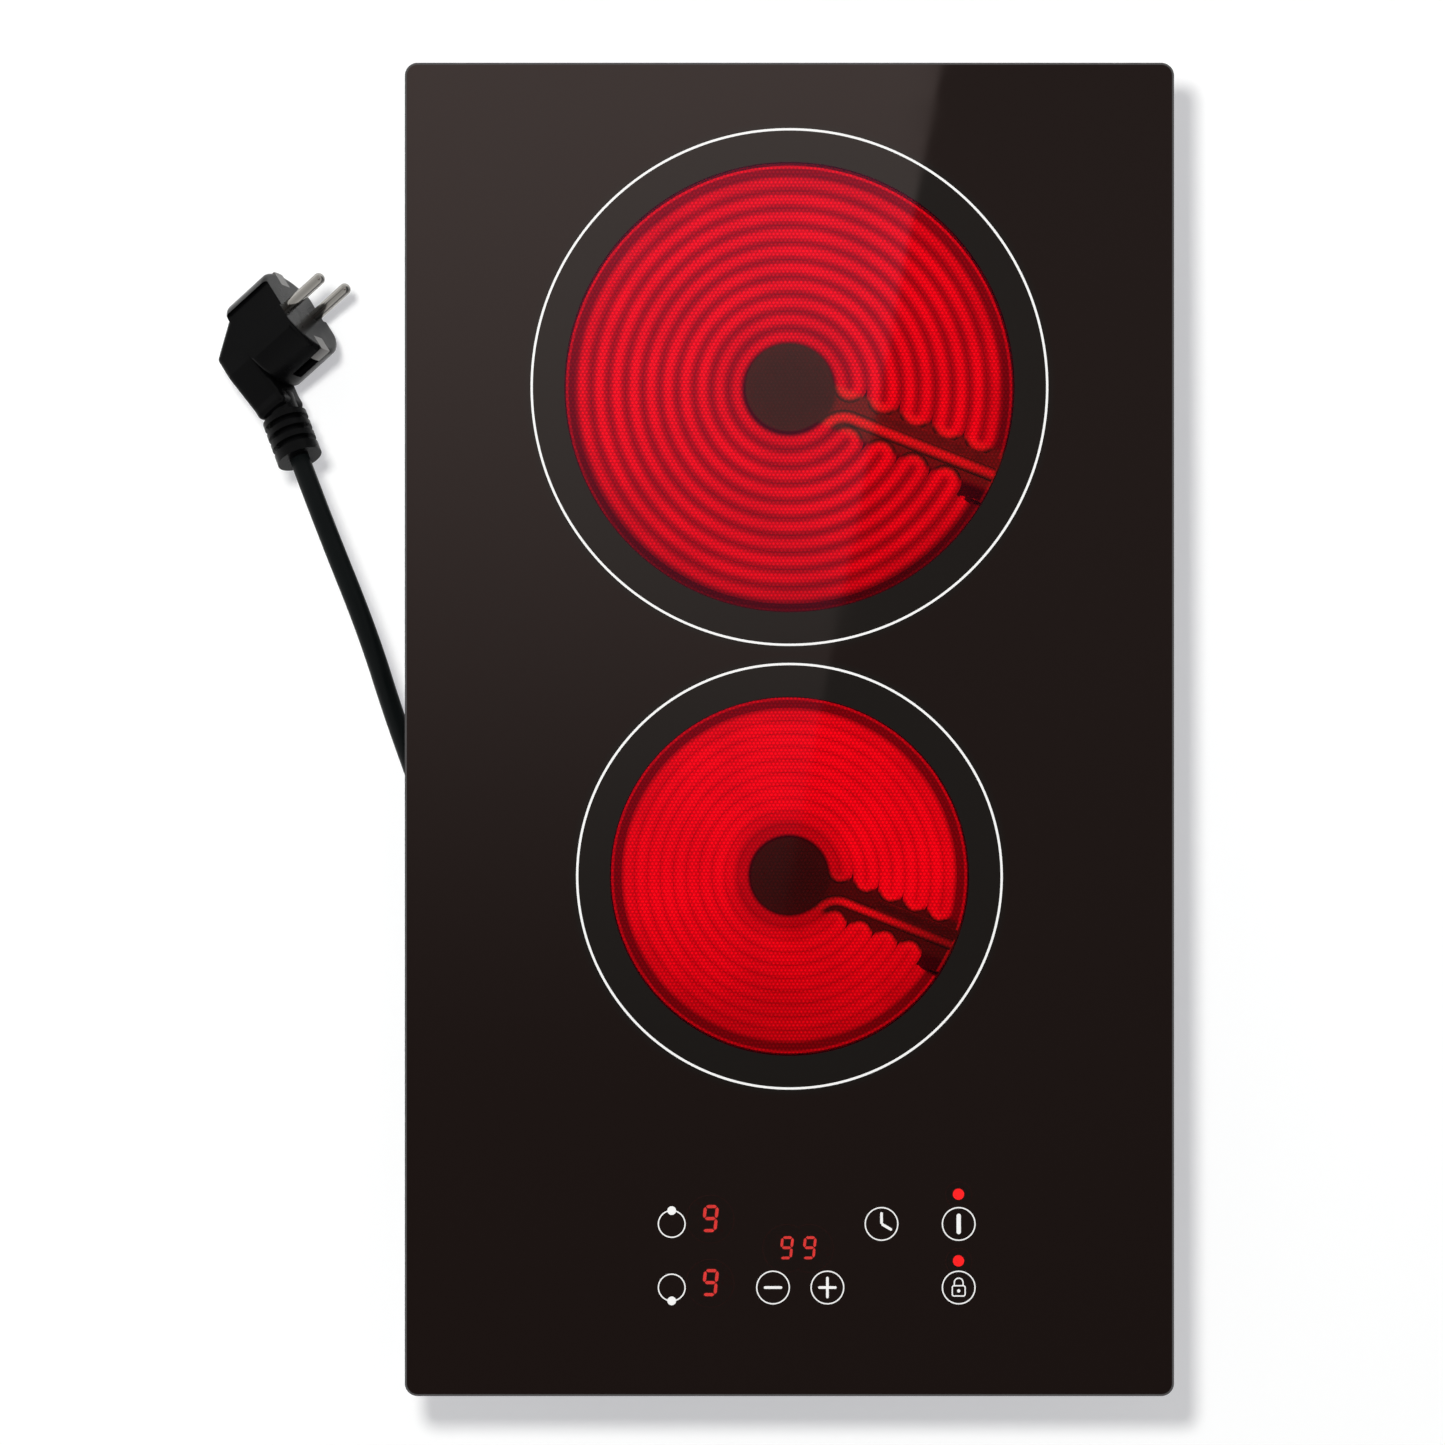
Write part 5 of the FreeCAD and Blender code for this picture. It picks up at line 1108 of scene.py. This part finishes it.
class HOB_OT_lights(bpy.types.Operator):
    """Lights the digits and lamps of the touch board"""

    bl_idname = "hob.lights"
    bl_label = "Digits and Lamps"

    def execute(self, context):
        glow = context.scene.hob_glow
        lit = lit_lens("lit_red_segments", glow.digit_colour, glow.digit_strength)
        lit_lamp = lit_lens("lit_red_lamps", glow.lamp_colour, glow.lamp_strength)
        levels = (DISPLAY_FACE, DISPLAY_FACE + LIGHT_THICKNESS)
        zones = [digit_nine(KEYS_MIDDLE + place, glow.zone_digit, *levels) for place in ZONE_DIGIT]
        timer = [digit_nine(KEYS_MIDDLE + place, glow.timer_digit, *levels) for place in TIMER_DIGIT]
        lamps = [disc(KEYS_MIDDLE + place, LAMP_RADIUS, *levels) for place in LAMPS]
        add_piece("zone_digits", together(zones), lit)
        add_piece("timer_digits", together(timer), lit)
        add_piece("lamp_lights", together(lamps), lit_lamp)
        dress(grained("smoked_display_lens"), "zone_displays", "timer_display", "indicator_lamps")
        return {"FINISHED"}


# Casing, controls and clamps


class HOB_OT_casing(bpy.types.Operator):
    """Finishes the pan, seals, feet and fasteners"""

    bl_idname = "hob.casing"
    bl_label = "Casing"

    def execute(self, context):
        screws = [name + "_screws" for name in ("foot", "tray", "board", "clamp")]
        dress(zinc_sheet("galvanised_pan_sheet", (0.42, 0.43, 0.44)), "base_pan", "heat_shield")
        dress(grained("black_silicone_bead"), "glass_bond")
        dress(grained("grey_foam_tape"), "worktop_seal")
        dress(grained("foot_rubber"), "rubber_feet")
        dress(grained("zinc_plated_screws"), "pan_rivets", "earth_screw", *screws)
        return {"FINISHED"}


class HOB_OT_controls(bpy.types.Operator):
    """Finishes the tray, the boards and the wiring"""

    bl_idname = "hob.controls"
    bl_label = "Controls and Wiring"

    def execute(self, context):
        dress(grained("glass_filled_tray"), "control_tray")
        dress(circuit_laminate(), "touch_board", "power_board")
        dress(grained("conductive_pad_foam"), "touch_pads")
        dress(grained("turned_standoff_brass"), "board_standoffs")
        dress(grained("relay_case_plastic"), "relays")
        dress(grained("varnished_laminations"), "transformer")
        dress(grained("capacitor_sleeve"), "capacitor")
        dress(grained("flat_cable_plastic"), "ribbon_cable")
        dress(grained("terminal_plastic"), "mains_terminal_block")
        dress(wire_sleeves(), "supply_wires", "large_heater_wires", "small_heater_wires")
        return {"FINISHED"}


class HOB_OT_clamps(bpy.types.Operator):
    """Finishes the worktop clamps"""

    bl_idname = "hob.clamps"
    bl_label = "Worktop Clamps"

    def execute(self, context):
        steel = zinc_sheet("zinc_clamp_steel", (0.44, 0.44, 0.45), 0.34)
        dress(steel, *[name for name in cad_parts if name.startswith("clamp_arm")])
        return {"FINISHED"}


# Cord and plug

# The cord's route from the gland round the front to the plug, in millimetres
CORD_ROUTE = (
    (115.0, 145.0, 16.7),
    (115.0, 121.0, 16.7),
    (119.5, 93.0, 12.5),
    (127.5, 62.0, 7.0),
    (135.0, 28.0, 4.1),
    (140.5, -14.0, 4.1),
    (143.0, -62.0, 4.1),
    (143.5, -114.0, 4.1),
    (142.5, -168.0, 4.1),
    (133.0, -219.0, 4.1),
    (93.0, -246.0, 4.1),
    (38.0, -250.0, 4.1),
    (-20.0, -250.5, 4.1),
    (-78.0, -248.0, 4.1),
    (-126.0, -229.0, 4.1),
    (-142.0, -182.0, 4.1),
    (-144.0, -130.0, 4.1),
    (-144.5, -80.0, 4.6),
    (-142.5, -32.0, 14.0),
    (-155.0, 4.0, 30.5),
    (-165.0, 38.0, 46.0),
    (-182.0, 80.2, 47.6),
    (-192.2, 106.3, 36.7),
)


class HOB_OT_cord(bpy.types.Operator):
    """Lays the supply cord along its route"""

    bl_idname = "hob.cord"
    bl_label = "Cord"

    def execute(self, context):
        settings = context.scene.hob_cord
        curve = bpy.data.curves.new("supply_cord", "CURVE")
        curve.dimensions = "3D"
        curve.bevel_depth = settings.diameter / 2
        curve.bevel_resolution = 5
        curve.resolution_u = 10
        curve.use_fill_caps = True
        spline = curve.splines.new("NURBS")
        spline.points.add(len(CORD_ROUTE) - 1)
        points = np.ones((len(CORD_ROUTE), 4))
        points[:, :3] = np.array(CORD_ROUTE) * MM
        spline.points.foreach_set("co", points.ravel())
        spline.order_u = 3
        spline.use_endpoint_u = True
        curve.materials.append(black_moulding("cord_sheath", settings.colour, 0.36))
        cord = bpy.data.objects.new("supply_cord", curve)
        context.scene.collection.objects.link(cord)
        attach(cord, CASING)
        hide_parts("power_cord")
        return {"FINISHED"}


class HOB_OT_plug(bpy.types.Operator):
    """Finishes the plug and the gland"""

    bl_idname = "hob.plug"
    bl_label = "Plug"

    def execute(self, context):
        plastic = black_moulding("moulded_plug_plastic", (0.002, 0.002, 0.0022), 0.26)
        dress(plastic, "plug_body", "plug_strain_relief")
        dress(grained("nickel_plug_pins"), "plug_pins")
        dress(grained("nickel_earth_clips"), "plug_earth_clips")
        dress(grained("gland_plastic"), "cord_gland", "gland_nut")
        return {"FINISHED"}


# Stage, in metres

FLOOR_HALF = 4.0
FLOOR_NEAR = 0.35
FLOOR_FAR = 1.3
FLOOR_GLOW = (0.95, 0.955, 1.0)
KEY_PLACE = (-0.33, 0.42, 2.3)
KEY_SIZE = 0.32
SENSOR_WIDTH = 36.0
FARTHEST = 50.0

# The sky's strength against height, from its foot to near its top
SKY_HEIGHTS = (0.05, 0.9)
SKY_SHARES = (1.0, 0.55)
SKY_COLOUR = (1.0, 0.995, 0.985)

# The card over the hob: its height as a share of the camera's, its slanting edge and its light by place
CARD_HALF = 0.9
CARD_HEIGHT = 1.1
CARD_COLOUR = (1.0, 0.80, 0.75)
EDGE_SLANT = 0.186
EDGE_SHIFT = 0.052
EDGE_SOFT = (0.004, -0.004)
CARD_REACH = (-0.55, 0.55)
CARD_LIGHT = (0.02, 0.16)
BRIGHT_REACH = (-0.32, 0.75)
BRIGHT_LIGHT = (0.0, 0.9)


def floor_finish(settings):
    """A pale floor that shows as white to the camera, more so further off, and takes the hob's shadow."""
    finish = Finish("pale_floor", roughness=0.9)
    cloud = finish.noise(0.25)
    finish.colour(finish.between(cloud, shade(settings.floor_colour, 0.99), settings.floor_colour))
    far = finish.vector("DISTANCE", finish.place, (0.0, 0.0, 0.0), output="Value")
    lift = finish.span(far, FLOOR_NEAR, FLOOR_FAR, settings.floor_lift, 1.0)
    finish.shine(FLOOR_GLOW, finish.sum("MULTIPLY", finish.background_ray(), lift))
    return finish.material


def overhead_card_finish():
    """A soft card over the hob that its glass mirrors: brighter to the rear left of a slanting edge."""
    finish = Finish("overhead_card", roughness=1.0)
    finish.colour((0.0, 0.0, 0.0))
    x, y, _ = finish.axes(finish.place)
    edge = finish.sum("MULTIPLY_ADD", y, EDGE_SLANT, EDGE_SHIFT)
    left = finish.span(finish.sum("SUBTRACT", x, edge), *EDGE_SOFT)
    plain = finish.span(y, *CARD_REACH, *CARD_LIGHT)
    bright = finish.span(y, *BRIGHT_REACH, *BRIGHT_LIGHT)
    finish.shine(CARD_COLOUR, finish.sum("MULTIPLY_ADD", left, bright, plain))
    return finish.material


def stage_sheet(name, half, height, material):
    """A flat square sheet of the stage: half (u, v) at one height, with u and v from -1 to 1."""
    u, v = np.meshgrid([-1.0, 1.0], [-1.0, 1.0], indexing="ij")
    points = np.stack([half * u, half * v, np.full_like(u, height)], axis=-1)
    sheet = add_object(name, (points.reshape(-1, 3), grid_faces(2, 2, False, False)), material)
    return sheet


class HOB_OT_stage(bpy.types.Operator):
    """Sets the floor, the light and the camera"""

    bl_idname = "hob.stage"
    bl_label = "Stage"

    def execute(self, context):
        settings = context.scene.hob_stage
        stage_sheet("floor", FLOOR_HALF, 0.0, floor_finish(settings))
        self.hang_card(settings)
        self.light_sky(context, settings)
        self.hang_key(context, settings)
        self.aim_camera(context, settings)
        context.scene.view_settings.view_transform = "Standard"
        return {"FINISHED"}

    def hang_card(self, settings):
        """The card shows only in what mirrors it."""
        height = GLASS_FACE + settings.camera_height * CARD_HEIGHT
        card = stage_sheet("overhead_card", CARD_HALF, height, overhead_card_finish())
        card.visible_camera = False
        card.visible_diffuse = False
        card.visible_transmission = False
        card.visible_shadow = False

    def light_sky(self, context, settings):
        """An even sky, a little darker overhead, that shows as white to the camera."""
        world = bpy.data.worlds.new("studio")
        world.use_nodes = True
        sky = Nodes(world.node_tree)
        place = sky.add("ShaderNodeTexCoord").outputs["Generated"]
        fade = sky.span(sky.axes(place)[2], *SKY_HEIGHTS, *SKY_SHARES, ease="LINEAR")
        strength = settings.sky_strength
        lit = sky.sum("MULTIPLY_ADD", sky.background_ray(), 1.0 - strength, strength)
        background = sky.tree.nodes["Background"]
        sky.feed(background.inputs["Color"], SKY_COLOUR)
        sky.feed(background.inputs["Strength"], sky.sum("MULTIPLY", fade, lit))
        context.scene.world = world

    def hang_key(self, context, settings):
        """One round lamp to the rear left, turned to the hob."""
        lamp = bpy.data.lights.new("key_light", "AREA")
        lamp.shape = "DISK"
        lamp.size = KEY_SIZE
        lamp.energy = settings.key_power
        key = bpy.data.objects.new("key_light", lamp)
        x, y, z = KEY_PLACE
        key.location = KEY_PLACE
        key.rotation_euler = (-math.atan2(y, z), math.atan2(x, z), 0.0)
        key.visible_glossy = False
        context.scene.collection.objects.link(key)

    def aim_camera(self, context, settings):
        """A camera that looks straight down."""
        lens = bpy.data.cameras.new("camera")
        lens.sensor_width = SENSOR_WIDTH
        lens.lens = SENSOR_WIDTH * settings.camera_height / settings.view_width
        lens.clip_end = FARTHEST
        camera = bpy.data.objects.new("camera", lens)
        camera.location = (settings.view_x, settings.view_y, GLASS_FACE + settings.camera_height)
        context.scene.collection.objects.link(camera)
        context.scene.camera = camera


class HOB_PT_sidebar(bpy.types.Panel):
    """Lists the hob's pieces and their settings"""

    bl_label = "Hob"
    bl_idname = "HOB_PT_sidebar"
    bl_space_type = "VIEW_3D"
    bl_region_type = "UI"
    bl_category = "Hob"

    def draw(self, context):
        for operator in OPERATORS:
            self.layout.operator(operator.bl_idname)
        for name, group in SETTINGS.items():
            box = self.layout.box()
            for key in group.__annotations__:
                box.prop(getattr(context.scene, name), key)


SETTINGS = {
    "hob_glass": HobGlassSettings,
    "hob_glow": HobGlowSettings,
    "hob_cord": HobCordSettings,
    "hob_stage": HobStageSettings,
}
OPERATORS = (
    HOB_OT_stage,
    HOB_OT_cord,
    HOB_OT_plug,
    HOB_OT_glass,
    HOB_OT_keys,
    HOB_OT_lights,
    HOB_OT_heaters,
    HOB_OT_casing,
    HOB_OT_controls,
    HOB_OT_clamps,
)


def register():
    for group in SETTINGS.values():
        bpy.utils.register_class(group)
    for name, group in SETTINGS.items():
        setattr(bpy.types.Scene, name, PointerProperty(type=group))
    for operator in OPERATORS:
        bpy.utils.register_class(operator)
    bpy.utils.register_class(HOB_PT_sidebar)


def unregister():
    bpy.utils.unregister_class(HOB_PT_sidebar)
    for operator in reversed(OPERATORS):
        bpy.utils.unregister_class(operator)
    for name in SETTINGS:
        delattr(bpy.types.Scene, name)
    for group in reversed(list(SETTINGS.values())):
        bpy.utils.unregister_class(group)


def main():
    """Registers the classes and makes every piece."""
    register()
    for operator in OPERATORS:
        group, action = operator.bl_idname.split(".")
        getattr(getattr(bpy.ops, group), action)()


if __name__ == "__main__":
    main()
